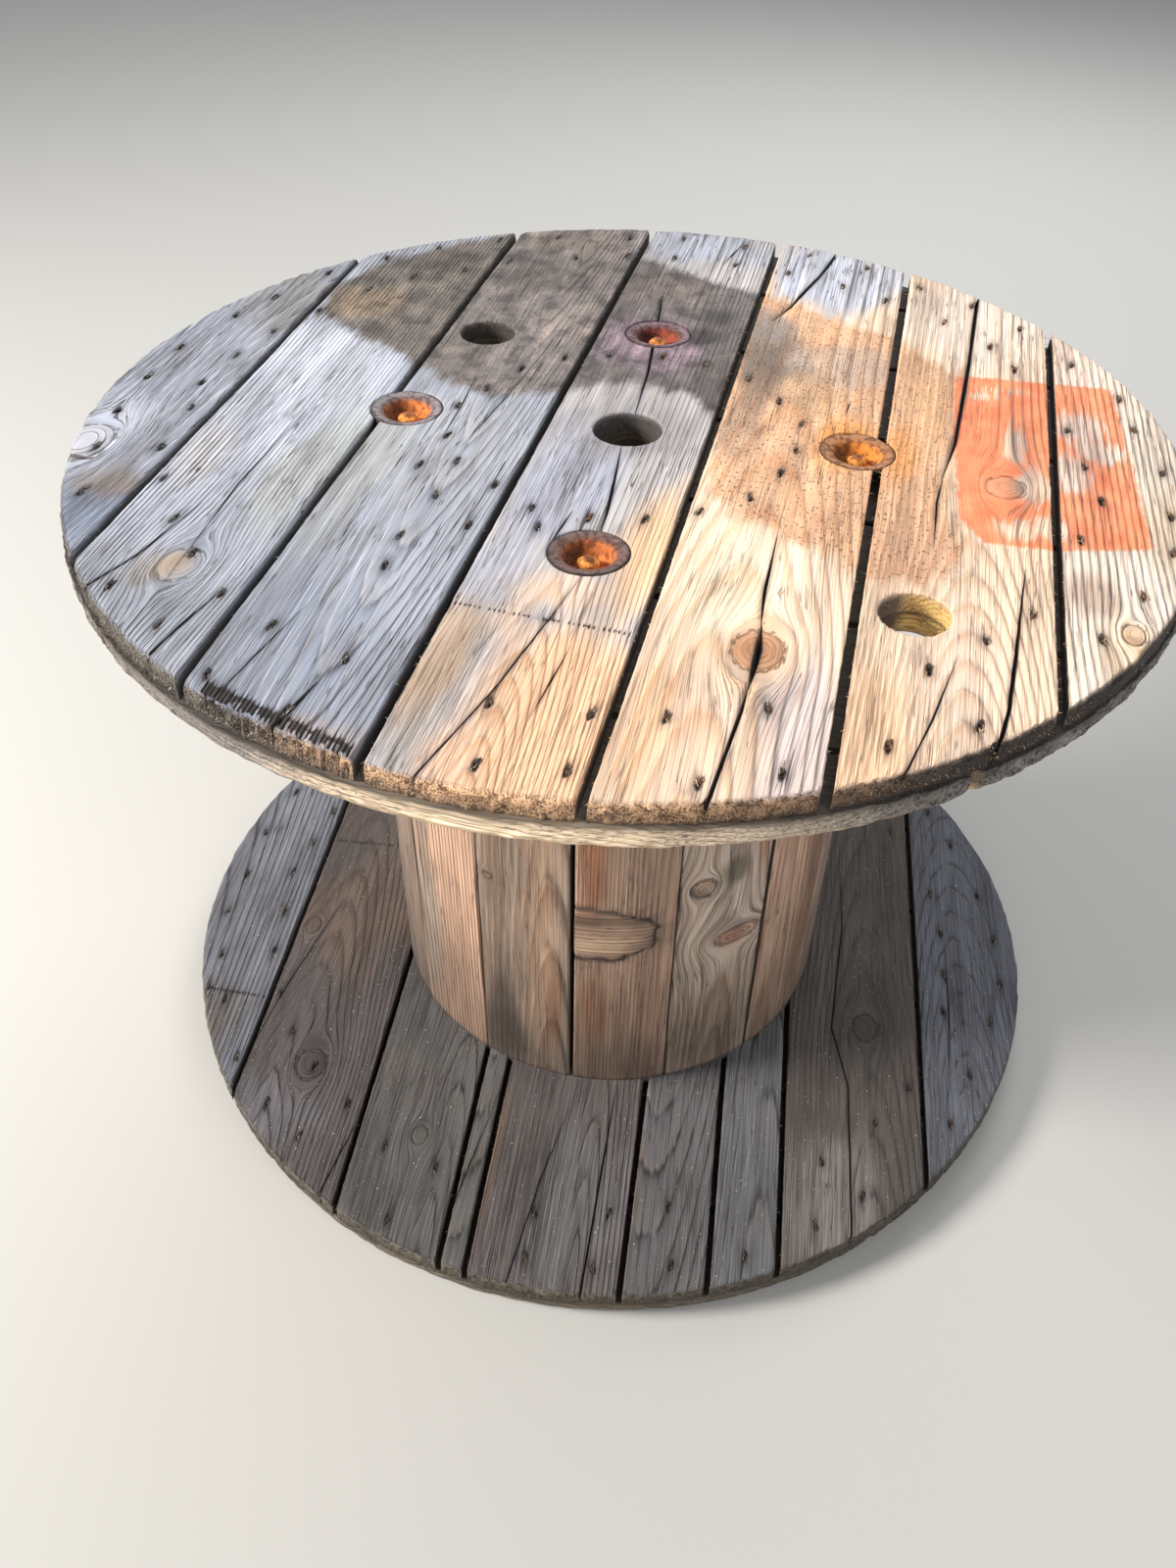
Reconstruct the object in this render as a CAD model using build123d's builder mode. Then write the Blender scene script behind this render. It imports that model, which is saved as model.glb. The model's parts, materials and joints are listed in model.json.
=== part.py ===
from build123d import *
import math
import os

# Wooden cable drum standing on its end. The axis is +Z, the origin is on the floor under the
# spindle hole, and the outer boards of the top flange run along Y. All sizes are in millimetres.

# Flanges: each is two crossed layers of boards, the outer layer sawn a little smaller
flange_radius = 500.0
outer_layer_setback = 3.0
layer_thickness = 20.0
clear_width = 620.0
board_count = 7
board_pitch = 151.5
board_gap = 7.5
layer_crossing = 90.0

# The base flange is turned a little against the top one
base_turn = 5.6

# Random-width boards on the winding side of the base, from the first gap to the last one
base_first_gap = -379.0
base_board_pitches = (149.0, 118.5, 27.5, 155.0, 84.5, 68.5, 152.0)
base_board_gap = 5.5

# Barrel: rounded staves let into a groove in both flanges
barrel_radius = 250.0
stave_thickness = 20.0
stave_count = 15
first_joint_angle = -87.3
joint_width = 1.2
open_joint_width = 4.5
open_joints = (0, 2)
groove_depth = 8.0
groove_clearance = 0.5

# Round holes in the flanges
spindle_hole_radius = 32.0
drive_hole_radius = 28.0
drive_hole_offset = 354.0
drive_hole_angle = -40.0
start_hole_radius = 28.0
start_hole_inset = 5.0
start_hole_angle = 138.0
stave_notch_clearance = 2.0
stave_notch_depth = 14.0

# Tie bolts just inside the staves clamp the flanges on them
bolt_count = 4
bolt_inset = 22.0
bolt_turn = 3.6
bolt_radius = 5.0
bolt_hole_clearance = 1.5
bolt_stub = 3.0
head_radius = 22.0
head_thickness = 6.0
nut_width = 17.0
nut_height = 8.0
thread_clearance = 0.1

# Pressed cup washers under the nuts. Cups and bolt heads are let into the outer layers.
cup_rim_radius = 33.0
cup_bowl_radius = 21.0
cup_sheet = 2.5
recess_clearance = 1.0

# Levels and radii that follow from the sizes
winding_floor = 2 * layer_thickness
winding_ceiling = winding_floor + clear_width
top_outer_level = winding_ceiling + layer_thickness
overall_height = top_outer_level + layer_thickness
outer_layer_radius = flange_radius - outer_layer_setback
stave_foot = winding_floor - groove_depth
stave_top = winding_ceiling + groove_depth
start_hole_offset = barrel_radius - start_hole_inset
bolt_circle_radius = barrel_radius - stave_thickness - bolt_inset
bolt_hole_radius = bolt_radius + bolt_hole_clearance
cup_depth = layer_thickness - cup_sheet
nut_seat = overall_height - cup_depth
bolt_length = nut_seat + nut_height + bolt_stub - layer_thickness

os.makedirs("parts", exist_ok=True)


def write(piece, name):
    piece.label = name
    export_step(piece, f"parts/{name}.step")


def polar(radius, angle):
    return radius * math.cos(math.radians(angle)), radius * math.sin(math.radians(angle))


# Places in plan. The base is the same flange turned over, with its boards across those of the top.
spindle_place = (0.0, 0.0)
top_drive_place = polar(drive_hole_offset, drive_hole_angle)
base_drive_place = polar(drive_hole_offset, layer_crossing + base_turn - drive_hole_angle)
start_place = polar(start_hole_offset, start_hole_angle)
bolt_step = 360 / bolt_count
bolt_places = [polar(bolt_circle_radius, bolt_turn + bolt * bolt_step) for bolt in range(bolt_count)]
top_holes = (
    (spindle_place, spindle_hole_radius),
    (top_drive_place, drive_hole_radius),
    (start_place, start_hole_radius),
)
base_holes = (
    (spindle_place, spindle_hole_radius),
    (base_drive_place, drive_hole_radius),
)
cup_recesses = tuple((place, cup_rim_radius + recess_clearance) for place in bolt_places)
head_recesses = tuple((place, head_radius + recess_clearance) for place in bolt_places)
bolt_holes = tuple((place, bolt_hole_radius) for place in bolt_places)


def board_edges(gap_centres, gap):
    """Low and high edges of the boards between the gaps, the first and the last out to the rim."""
    lows = [-flange_radius] + [centre + gap / 2 for centre in gap_centres]
    highs = [centre - gap / 2 for centre in gap_centres] + [flange_radius]
    return list(zip(lows, highs))


def board_outline(low, high, radius, underside, turn):
    """Plan of a board between two long edges, cut round by the rim of its layer."""
    with BuildSketch(Plane.XY.offset(underside).rotated((0, 0, turn))) as outline:
        Circle(radius)
        with Locations(((low + high) / 2, 0)):
            Rectangle(high - low, 2 * radius, mode=Mode.INTERSECT)
    return outline.sketch


def outer_board(edges, underside, turn, holes):
    """Board of an outer layer, with its share of the holes."""
    with BuildPart() as board:
        extrude(board_outline(*edges, outer_layer_radius, underside, turn), amount=layer_thickness)
        for (x, y), radius in holes:
            with Locations((x, y, underside)):
                Hole(radius)
    return board.part


def inner_board(edges, underside, turn, groove_floor, holes):
    """Board of an inner layer, drilled for the bolts, with its share of the staves' groove."""
    with BuildPart() as board:
        extrude(board_outline(*edges, flange_radius, underside, turn), amount=layer_thickness)
        for (x, y), radius in holes + bolt_holes:
            with Locations((x, y, underside)):
                Hole(radius)
        with BuildSketch(Plane.XY.offset(groove_floor)):
            Circle(barrel_radius + groove_clearance)
            Circle(barrel_radius - stave_thickness - groove_clearance, mode=Mode.SUBTRACT)
        toward_winding = 1 if groove_floor < winding_ceiling else -1
        extrude(amount=toward_winding * groove_depth, mode=Mode.SUBTRACT)
    return board.part


def stave(first_joint):
    """Stave between two joints: round outside, flat inside, edges planed to the joints.

    Its top end is notched clear of the start hole, which only reaches the stave under it."""
    middle = first_joint_angle + (first_joint + 0.5) * 360 / stave_count
    flat_distance = barrel_radius - stave_thickness
    sides = []
    for side, joint in ((-1, first_joint), (1, (first_joint + 1) % stave_count)):
        gap = open_joint_width if joint in open_joints else joint_width
        outer_angle = side * (180 / stave_count - math.degrees(gap / 2 / barrel_radius))
        inner_angle = side * (180 / stave_count - math.degrees(gap / 2 / flat_distance))
        sides.append((outer_angle, flat_distance * math.tan(math.radians(inner_angle))))
    (low_angle, low_y), (high_angle, high_y) = sides
    with BuildPart() as piece:
        with BuildSketch(Plane.XY.offset(stave_foot).rotated((0, 0, middle))):
            with BuildLine():
                back = CenterArc((0, 0), barrel_radius, low_angle, high_angle - low_angle)
                Polyline(back @ 1, (flat_distance, high_y), (flat_distance, low_y), back @ 0)
            make_face()
        extrude(amount=stave_top - stave_foot)
        with Locations((*start_place, stave_top)):
            Hole(start_hole_radius + stave_notch_clearance, depth=stave_notch_depth)
    return piece.part


# Gaps between the boards: even ones about the axis, and those of the random-width boards
even_gaps = [(step - board_count / 2) * board_pitch for step in range(1, board_count)]
random_gaps = [base_first_gap]
for pitch in base_board_pitches:
    random_gaps.append(random_gaps[-1] + pitch)
even_edges = board_edges(even_gaps, board_gap)
random_edges = board_edges(random_gaps, base_board_gap)

# Top flange: outer boards along Y, cross boards under them along X
for number, edges in enumerate(even_edges, start=1):
    board = outer_board(edges, top_outer_level, 0, top_holes + cup_recesses)
    write(board, f"top_board_{number}")
for number, edges in enumerate(even_edges, start=1):
    board = inner_board(edges, winding_ceiling, layer_crossing, stave_top, top_holes)
    write(board, f"top_cross_board_{number}")

# Base flange: random-width boards on the winding side, cross boards under them on the floor
for number, edges in enumerate(random_edges, start=1):
    board = inner_board(edges, layer_thickness, base_turn, stave_foot, base_holes)
    write(board, f"base_board_{number}")
for number, edges in enumerate(even_edges, start=1):
    board = outer_board(edges, 0, layer_crossing + base_turn, base_holes + head_recesses)
    write(board, f"base_cross_board_{number}")

# Barrel
for joint in range(stave_count):
    write(stave(joint), f"stave_{joint + 1:02d}")

# Tie bolts: each broad head bears on the base's inner layer, and the end stands out of its nut
for number, place in enumerate(bolt_places, start=1):
    with BuildPart() as tie_bolt:
        with BuildSketch(Plane.XY.offset(layer_thickness - head_thickness)):
            with Locations(place):
                Circle(head_radius)
        extrude(amount=head_thickness)
        with BuildSketch(Plane.XY.offset(layer_thickness)):
            with Locations(place):
                Circle(bolt_radius)
        extrude(amount=bolt_length)
    write(tie_bolt.part, f"tie_bolt_{number}")

with BuildPart() as top_nuts:
    with BuildSketch(Plane.XY.offset(nut_seat)):
        with Locations(*bolt_places):
            RegularPolygon(nut_width / 2, 6, major_radius=False)
            Circle(bolt_radius + thread_clearance, mode=Mode.SUBTRACT)
    extrude(amount=nut_height)
write(top_nuts.part, "top_nuts")

# One cup with its rim at level zero: a flat rim round a bowl with a hole in its floor
with BuildPart() as cup:
    with BuildSketch(Plane.XZ):
        with BuildLine():
            Polyline(
                (bolt_hole_radius, -cup_depth),
                (cup_bowl_radius, -cup_depth),
                (cup_bowl_radius, 0),
                (cup_rim_radius, 0),
                (cup_rim_radius, -cup_sheet),
                (cup_bowl_radius + cup_sheet, -cup_sheet),
                (cup_bowl_radius + cup_sheet, -layer_thickness),
                (bolt_hole_radius, -layer_thickness),
                close=True,
            )
        make_face()
    revolve(axis=Axis.Z)

with BuildPart(Plane.XY.offset(overall_height)) as top_cup_washers:
    with PolarLocations(bolt_circle_radius, bolt_count, start_angle=bolt_turn):
        add(cup.part)
write(top_cup_washers.part, "top_cup_washers")
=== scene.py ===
"""Looks of the wooden cable drum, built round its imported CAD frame.

Every wooden piece is remade as a worn board or stave in the place of its CAD node: rounded and
ragged edges, drying cracks, knots, nail dents and finger joints are in the mesh, and growth rings,
weathering, stains and paint are in the materials. Cup washers, nuts and tie bolts are turned from
their sections, and nail ends and torn fibres are added. Lengths in this script are in millimetres
until a mesh is made.
"""

import json
import math
import random
from functools import partial

import bpy
import numpy as np
from mathutils import Matrix, Vector
from mathutils.geometry import delaunay_2d_cdt


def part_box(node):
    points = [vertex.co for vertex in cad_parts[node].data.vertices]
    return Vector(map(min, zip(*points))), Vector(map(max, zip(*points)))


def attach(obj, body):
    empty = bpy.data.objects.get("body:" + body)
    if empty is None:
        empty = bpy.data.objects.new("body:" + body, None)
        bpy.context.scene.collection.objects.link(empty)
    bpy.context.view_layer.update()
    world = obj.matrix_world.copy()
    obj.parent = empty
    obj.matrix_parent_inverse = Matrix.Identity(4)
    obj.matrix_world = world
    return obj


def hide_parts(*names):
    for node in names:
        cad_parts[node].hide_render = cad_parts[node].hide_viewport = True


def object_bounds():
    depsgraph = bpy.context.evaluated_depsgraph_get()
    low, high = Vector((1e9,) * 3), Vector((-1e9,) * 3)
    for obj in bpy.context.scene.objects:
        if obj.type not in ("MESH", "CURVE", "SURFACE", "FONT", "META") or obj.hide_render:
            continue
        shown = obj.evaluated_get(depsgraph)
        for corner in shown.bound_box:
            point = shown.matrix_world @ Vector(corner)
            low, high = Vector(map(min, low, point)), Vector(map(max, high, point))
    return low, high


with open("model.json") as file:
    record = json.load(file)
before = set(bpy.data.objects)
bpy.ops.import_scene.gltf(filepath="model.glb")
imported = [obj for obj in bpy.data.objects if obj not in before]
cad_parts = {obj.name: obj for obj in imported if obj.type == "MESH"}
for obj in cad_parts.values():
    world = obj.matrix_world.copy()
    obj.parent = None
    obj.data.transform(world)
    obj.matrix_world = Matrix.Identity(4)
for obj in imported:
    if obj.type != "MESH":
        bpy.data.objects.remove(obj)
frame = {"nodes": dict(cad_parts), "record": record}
cad_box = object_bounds()

MM = 0.001
TAU = 2 * math.pi
DRUM_RADIUS = cad_box[1][0] / MM
DRUM_HEIGHT = cad_box[1][2] / MM
# How far every piece stays inside the drum's own box
SHY = 0.05
# Height of the base flange's upper face, where a line of painted shade runs round the barrel's foot
BASE_FACE = 40.0
# Nail ends and torn fibres right of here are brown and gold, left of it black and grey, as the
# top's boards are painted: in warm sunlight to the right, in cool shade to the left
SUNLIT_FROM = -20

# Camera: where the photographer stood, and which way the camera was turned
CAMERA_PLACE = (214.0, -1078.0, 1273.4)
CAMERA_HEADING = 12.82
CAMERA_TILT = 47.22
CAMERA_ROLL = 1.02
CAMERA_LENS = 30.12
CAMERA_SENSOR = 36

# Turns of the flanges' layers about the axis, in degrees
TOP_TURN = 0.0
BASE_TURN = 5.6
CROSSING = 90.0

# Wear of the sawn wood: how deep the face lies, how deep its relief goes, how far its edges are
# rounded, and how ragged they are
SUNK = 0.8
RELIEF_DEPTH = 2.9
LONG_EDGE_ROUND = 1.8
RIM_ROUND = 5.0
HOLE_ROUND = 1.0
STAVE_ROUND = 1.6
RAGGED = 0.6
# A crack that ends this near the rim runs out through it
RUNS_OUT = 14
# What the fields say where there is no edge, hurt, stain or knot near
FAR = 1e3
UNHURT = 30.0
UNSTAINED = -60.0
NO_KNOT = 9.0

# Depths at which a board's walls have points, and how large the ovals of points at a knot are
WALL_DEPTHS = (3.0, 7.0, 12.0, 17.0)
KNOT_OVALS = (0.35, 0.6, 0.8, 0.9, 1.0, 1.1, 1.25, 1.5, 1.9, 2.4)

# Nails: two rings near the rim and one near the middle, clinched over along the grain
NAIL_RINGS = ((472.0, 41, -3.0), (411.0, 41, -3.0), (158.0, 20, 0.0))
NAIL_DENT = (2.9, 9.0, 2.2)
NAIL_SIDES = 7
FINGER_PITCH = 3.8
# Torn fibres in a hole, for each millimetre of its radius
HOLE_FUZZ = 3.2

CUP_RECESS = 34.0
HEAD_RECESS = 23.0
BOLT_HOLE = 6.5

# Staves: how many, how thick, how far the start hole for the cable is cut into one of them, and
# how far their joints stay off the ends of the outer face, in radians
STAVE_COUNT = 15
STAVE_THICKNESS = 20
START_NOTCH = 14
JOINT_SHY = 0.0015

mounts = {mount["name"]: mount for mount in frame["record"]["mounts"]}


def mount_hole(name):
    """Place in plan and radius of a round hole, from its mount."""
    x, y, z = mounts[name]["pos_m"]
    return x / MM, y / MM, mounts[name]["dims"]["r_mm"]


def linear(code, alpha=1.0):
    """Linear colour of an sRGB hex value."""
    levels = [int(code[i : i + 2], 16) / 255 for i in (1, 3, 5)]
    levels = [v / 12.92 if v <= 0.04045 else ((v + 0.055) / 1.055) ** 2.4 for v in levels]
    return (*levels, alpha)


def tone(code):
    """Linear colour of an sRGB hex value, as an array that can be mixed."""
    return np.array(linear(code)[:3])


def mixed(colour, other, share):
    """Colours drawn towards another one, by a share at each point."""
    return colour + (other - colour) * share[:, None]


def step(low, high, value):
    """Smooth rise from 0 to 1 between two values."""
    t = np.clip((value - low) / (high - low), 0, 1)
    return t * t * (3 - 2 * t)


def wander(x, y, seed):
    """Smooth random field between -1 and 1, with features one unit across."""
    corner_x, corner_y = np.floor(x), np.floor(y)
    u, v = step(0, 1, x - corner_x), step(0, 1, y - corner_y)

    def lattice(i, j):
        wave = np.sin(i * 127.1 + j * 311.7 + seed * 74.7) * 43758.5453
        return 2 * (wave - np.floor(wave)) - 1

    low = lattice(corner_x, corner_y) * (1 - u) + lattice(corner_x + 1, corner_y) * u
    high = lattice(corner_x, corner_y + 1) * (1 - u) + lattice(corner_x + 1, corner_y + 1) * u
    return low * (1 - v) + high * v


def turned(x, y, degrees):
    """Plan coordinates after a turn about the axis."""
    c, s = math.cos(math.radians(degrees)), math.sin(math.radians(degrees))
    return x * c - y * s, x * s + y * c


def oval_gap(x, y, oval_x, oval_y, half_width, half_length):
    """How far points are from the heart of an oval, where its edge is at 1."""
    return np.hypot((x - oval_x) / half_width, (y - oval_y) / half_length)


def bead(gap, at, width):
    """A soft line, 1 high, at a given distance."""
    return np.exp(-(((gap - at) / width) ** 2))


def rounded(gap, radius):
    """How much a rounded edge has lost at a distance in from it."""
    missing = np.clip(radius - gap, 0, radius)
    return radius - np.sqrt(np.maximum(radius**2 - missing**2, 0))


def along_line(x, y, line):
    """Distance of points to a line of straight runs, and how far along it the nearest place is."""
    best = np.full(np.shape(x), 1e9)
    share = np.zeros(np.shape(x))
    runs = len(line) - 1
    for i in range(runs):
        (ax, ay), (bx, by) = line[i], line[i + 1]
        length = (bx - ax) ** 2 + (by - ay) ** 2
        t = np.clip(((x - ax) * (bx - ax) + (y - ay) * (by - ay)) / length, 0, 1)
        gap = np.hypot(x - ax - t * (bx - ax), y - ay - t * (by - ay))
        nearer = gap < best
        best = np.where(nearer, gap, best)
        share = np.where(nearer, (i + t) / runs, share)
    return best, share


# Marks of the top face, in plan. Knots: place, half width, half length.
TOP_KNOTS = (
    (-292, -305, 17, 24),
    (-463, -146, 25, 36),
    (163, -303, 20, 25),
    (337, -18, 17, 19),
    (431, -214, 9, 14),
)
# Cracks: width and depth at their widest, then their course
TOP_CRACKS = (
    (2.6, 9, ((-28, 300), (-24, 276), (-5, 115), (1, 21))),
    (2.4, 9, ((1, -30), (9, -98), (14, -147), (16, -190))),
    (1.0, 5, ((17, -235), (5, -307), (-11, -398), (-36, -498))),
    (1.6, 6, ((-20, -205), (-14, -150))),
    (2.2, 9, ((156, -140), (157, -228), (161, -280))),
    (5.5, 13, ((161, -270), (163, -305), (162, -350))),
    (2.6, 9, ((162, -340), (161, -375), (153, -484))),
    (3.4, 12, ((148, 492), (132, 400), (112, 318), (96, 268))),
    (3.6, 12, ((305, 399), (300, 225), (292, 52), (282, -21))),
    (1.4, 6, ((284, -10), (280, -60), (281, -133))),
    (2.8, 12, ((353, -141), (346, -256), (341, -327), (333, -378))),
    (1.0, 5, ((305, -270), (290, -350), (272, -424))),
    (1.6, 7, ((-316, -215), (-330, -300), (-352, -364))),
    (2.0, 8, ((-245, -330), (-255, -380), (-262, -428))),
    (0.9, 4, ((-292, -334), (-300, -180), (-296, -40))),
    (0.8, 4, ((-175, -330), (-187, -400), (-196, -462))),
    (0.7, 4, ((-118, 92), (-128, 0), (-136, -70))),
    (0.8, 4, ((-165, 70), (-160, 10), (-158, -50))),
    (0.9, 4, ((30, -330), (22, -420))),
    (0.8, 4, ((33, 250), (30, 190))),
    (1.4, 5, ((36, 480), (22, 404))),
    (0.8, 4, ((193, 110), (190, 76))),
    (3.0, 10, ((-132, -415), (-138, -450), (-145, -480))),
)
# Rows of finger joints: from, to, and how long the teeth's open tips are
TOP_JOINTS = (
    ((-72, -301), (72, -307), 3.2),
    ((-206, -440), (-84, -478), 8.0),
)
# Where the dark water stain ends, going round it, and where the paint patch ends
STAIN_EDGE = (
    (-371, 169), (-313, 127), (-233, 82), (-177, 38), (-130, 31), (-81, 52), (-29, 90), (34, 83),
    (72, 54), (84, -72), (120, -125), (161, -150), (199, -163), (231, -192), (277, -191),
    (310, -140), (286, -60), (292, 60), (294, 186), (228, 256), (177, 280), (100, 328), (17, 358),
    (-68, 402), (-90, 520), (-200, 470), (-300, 372), (-352, 306), (-377, 240),
)
PAINT_EDGE = (
    (287, 184), (298, 191), (434, 199), (441, 122), (445, 58), (454, -90), (377, -110),
    (321, -113), (299, -78), (289, 82),
)
# Where feet and loads have worn the paint through: place, half width, half length
PAINT_WEAR = (
    (344, 60, 12, 44), (360, -10, 18, 34), (348, -86, 20, 18), (402, 108, 26, 34),
    (420, 66, 26, 24), (392, 20, 20, 40), (372, -76, 16, 22), (312, 150, 26, 6), (336, 168, 40, 5),
)
LONE_NAILS = ((-140, -222), (-137, -267), (-91, -195), (-162, -111), (-132, -154), (-36, -182))

BASE_KNOTS = ((-275, -303, 17, 22), (-127, -360, 9, 12), (325, -102, 14, 20), (-350, -110, 9, 14))
BASE_CRACKS = (
    (1.6, 7, ((271, 158), (285, 48), (288, -111), (314, -186), (335, -373))),
    (1.8, 7, ((82, -496), (72, -360), (64, -249))),
    (1.4, 6, ((-206, -456), (-202, -400), (-198, -360))),
    (1.2, 5, ((196, -300), (190, -380), (186, -460))),
    (1.0, 5, ((-60, -300), (-66, -400), (-70, -490))),
    (1.0, 5, ((20, -290), (12, -380), (8, -496))),
    (1.0, 5, ((-330, -60), (-345, -200), (-352, -340))),
    (1.0, 5, ((410, 60), (420, -60), (424, -180))),
    (0.9, 5, ((270, -290), (262, -360), (258, -420))),
    (1.2, 5, ((-290, 330), (-280, 200), (-285, 60))),
    (1.2, 5, ((120, 300), (128, 400), (130, 470))),
    (1.2, 5, ((300, 200), (296, 320), (300, 390))),
)
BASE_JOINTS = (
    ((-441, -232), (-361, -228), 3.0),
    ((-380, 35), (-303, 44), 3.0),
)

# How each board was cut from the log: where the heart lies across, how deep under the face,
# how fast that depth grows along the board, ring width, and how far the ridges stand proud
CUTS = {
    "top_board_1": (-376, 52, 0.07, 5.4, 1.4),
    "top_board_2": (-455, 66, 0.04, 3.9, 0.7),
    "top_board_3": (-133, 36, -0.045, 3.9, 0.7),
    "top_board_4": (-2, 74, 0.11, 3.6, 0.8),
    "top_board_5": (140, 90, 0.07, 6.4, 0.7),
    "top_board_6": (312, 76, 0.12, 4.3, 1.1),
    "top_board_7": (330, 60, 0.05, 5.4, 1.2),
    "base_board_1": (-500, 80, 0.04, 5.0, 0.7),
    "base_board_2": (-330, 60, 0.10, 5.2, 0.8),
    "base_board_5": (22, 40, 0.08, 5.4, 1.1),
    "base_board_8": (320, 66, 0.07, 5.2, 0.7),
    "base_board_9": (428, 60, 0.12, 5.2, 0.8),
}

# Places along a board where its arched figure ends and straight rings begin
FIGURE_ENDS = {"top_board_4": -270.0, "top_board_6": -120.0, "top_board_5": 120.0}
NO_FIGURE_END = 900.0

# Tone of each board's clean wood, then blotches over it: place, half width, half length, tone
# and strength
# Left boards are painted cool grey-blue as in shade, right boards warm cream as in sunlight
TOP_TONES = {
    1: ("#A6AAB5", (
        (-430, -270, 60, 90, "#7A879E", 0.9), (-400, 60, 60, 150, "#AFB3BE", 0.7),
        (-412, -205, 34, 26, "#8C7A68", 0.7), (-430, 250, 40, 22, "#5E564F", 0.7),
        (-410, 200, 40, 90, "#9A9899", 0.8), (-455, -120, 30, 60, "#C3C8D4", 0.5),
    )),
    2: ("#A3A8B4", (
        (-330, -380, 90, 80, "#8C919C", 0.8), (-305, 30, 90, 150, "#CBD0DC", 0.95),
        (-250, -130, 34, 110, "#B2B4AC", 0.6), (-294, -305, 19, 27, "#AB9A85", 0.75),
        (-318, -318, 16, 22, "#8E8274", 0.6),
        (-350, -140, 26, 70, "#C9C6C6", 0.6), (-260, 440, 90, 30, "#CFC3B8", 0.8),
    )),
    3: ("#A9ADB8", (
        (-150, -410, 90, 120, "#9299A8", 0.85), (-150, -60, 90, 110, "#B9BBC2", 0.8),
        (-118, -474, 46, 20, "#B5A196", 0.6), (-110, 470, 90, 50, "#A89386", 0.6),
        (-205, -120, 22, 140, "#B0B2AC", 0.6), (-190, -330, 20, 60, "#98A2B8", 0.5),
    )),
    4: ("#C2BCBA", (
        (30, -430, 80, 150, "#E8BB96", 0.95), (-56, -380, 26, 90, "#C4A88E", 0.8),
        (60, -190, 28, 130, "#E8C29C", 0.95), (-34, -90, 50, 110, "#B4B6C4", 0.9),
        (10, 0, 70, 60, "#A09A9C", 0.7), (-50, -250, 30, 46, "#BDBDC8", 0.8),
        (10, -265, 50, 30, "#E6C2A2", 0.5), (0, 460, 90, 60, "#BCC0CC", 0.9),
    )),
    5: ("#EDD2BA", (
        (150, 410, 90, 110, "#D2D6E2", 0.95), (120, -210, 60, 90, "#FFEBCF", 0.7),
        (205, -420, 34, 120, "#D8C8C6", 0.8), (163, -303, 26, 32, "#D8A982", 0.85),
        (110, -430, 50, 90, "#E0BFA6", 0.8), (100, -400, 16, 90, "#EABF96", 0.6),
    )),
    6: ("#EED2B8", (
        (300, 330, 90, 130, "#EEDCCC", 0.9), (310, -300, 44, 90, "#E6CDB9", 0.8),
        (250, -380, 30, 90, "#EDC29A", 0.6), (350, 60, 16, 130, "#A8958C", 0.8),
    )),
    7: ("#EADACA", (
        (420, 240, 90, 80, "#EFD6C6", 0.8), (400, -170, 24, 30, "#A89284", 0.8),
        (470, -60, 24, 80, "#E2CAB0", 0.6), (440, -250, 40, 60, "#E2C6A6", 0.6),
        (398, 60, 26, 100, "#BFA79C", 0.7),
    )),
}
# Tone of each board where the stain lies on it, and its blotches
# On the right boards the stain too is painted warm, as in sunlight
STAINED_TONES = {
    1: ("#8E8078", ()),
    2: ("#716A63", (
        (-310, 330, 60, 40, "#5C544D", 0.6), (-250, 160, 40, 60, "#736A63", 0.6),
        (-330, 200, 50, 40, "#948069", 0.8),
    )),
    3: ("#837A76", (
        (-150, 330, 60, 60, "#6E645E", 0.7), (-185, 90, 50, 40, "#80766F", 0.6),
        (-110, 200, 44, 40, "#A09288", 0.6), (-160, 430, 60, 40, "#968679", 0.6),
    )),
    4: ("#746C6A", (
        (-10, 180, 62, 66, "#9C8490", 0.9), (40, 262, 24, 30, "#332C2A", 0.9),
        (-30, 320, 60, 50, "#7E7066", 0.7), (58, 130, 22, 90, "#5E5551", 0.8),
        (36, 214, 28, 30, "#3A3231", 0.9),
    )),
    5: ("#E6B791", (
        (104, 170, 40, 90, "#756960", 0.9), (98, 40, 26, 90, "#AE9078", 0.8),
        (196, 20, 34, 50, "#EFA458", 0.9), (190, 180, 60, 50, "#BCA898", 0.75),
        (96, 260, 34, 40, "#948A86", 0.8), (150, 110, 30, 50, "#B89672", 0.6),
        (170, -120, 50, 30, "#D8A884", 0.6),
    )),
    6: ("#DBB08C", (
        (262, -150, 60, 50, "#D4A88A", 0.7), (244, 20, 18, 60, "#E69A52", 0.8),
        (270, 90, 26, 90, "#E6B488", 0.6),
    )),
    7: ("#D5B08C", ()),
}
CROSS_TONES = {0: ("#C9AE8C", ())}
BASE_TONES = {
    1: ("#686A72", ((-430, -300, 60, 80, "#5E5650", 0.8), (-450, 60, 40, 120, "#80828A", 0.6))),
    2: ("#514A49", (
        (-300, -60, 90, 110, "#5E4C40", 0.7), (-330, -390, 90, 70, "#6B676C", 0.8),
        (-350, 120, 60, 120, "#5C5048", 0.6),
    )),
    3: ("#5C5957", ((-170, -300, 50, 60, "#6A6663", 0.6), (-215, -330, 16, 120, "#4A423B", 0.7))),
    4: ("#625F5B", ((-110, -330, 30, 50, "#4C4540", 0.6),)),
    5: ("#605957", ((-60, -400, 24, 110, "#705A4A", 0.7), (50, -400, 60, 100, "#727072", 0.7))),
    6: ("#646263", ((100, -400, 20, 90, "#6E6056", 0.6),)),
    7: ("#68686A", ()),
    8: ("#4B443F", ((325, -102, 60, 90, "#403A35", 0.7), (310, -330, 70, 90, "#7C7570", 0.9))),
    9: ("#5D6069", ()),
}
FLOOR_TONES = {0: ("#6B6052", ())}
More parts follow.
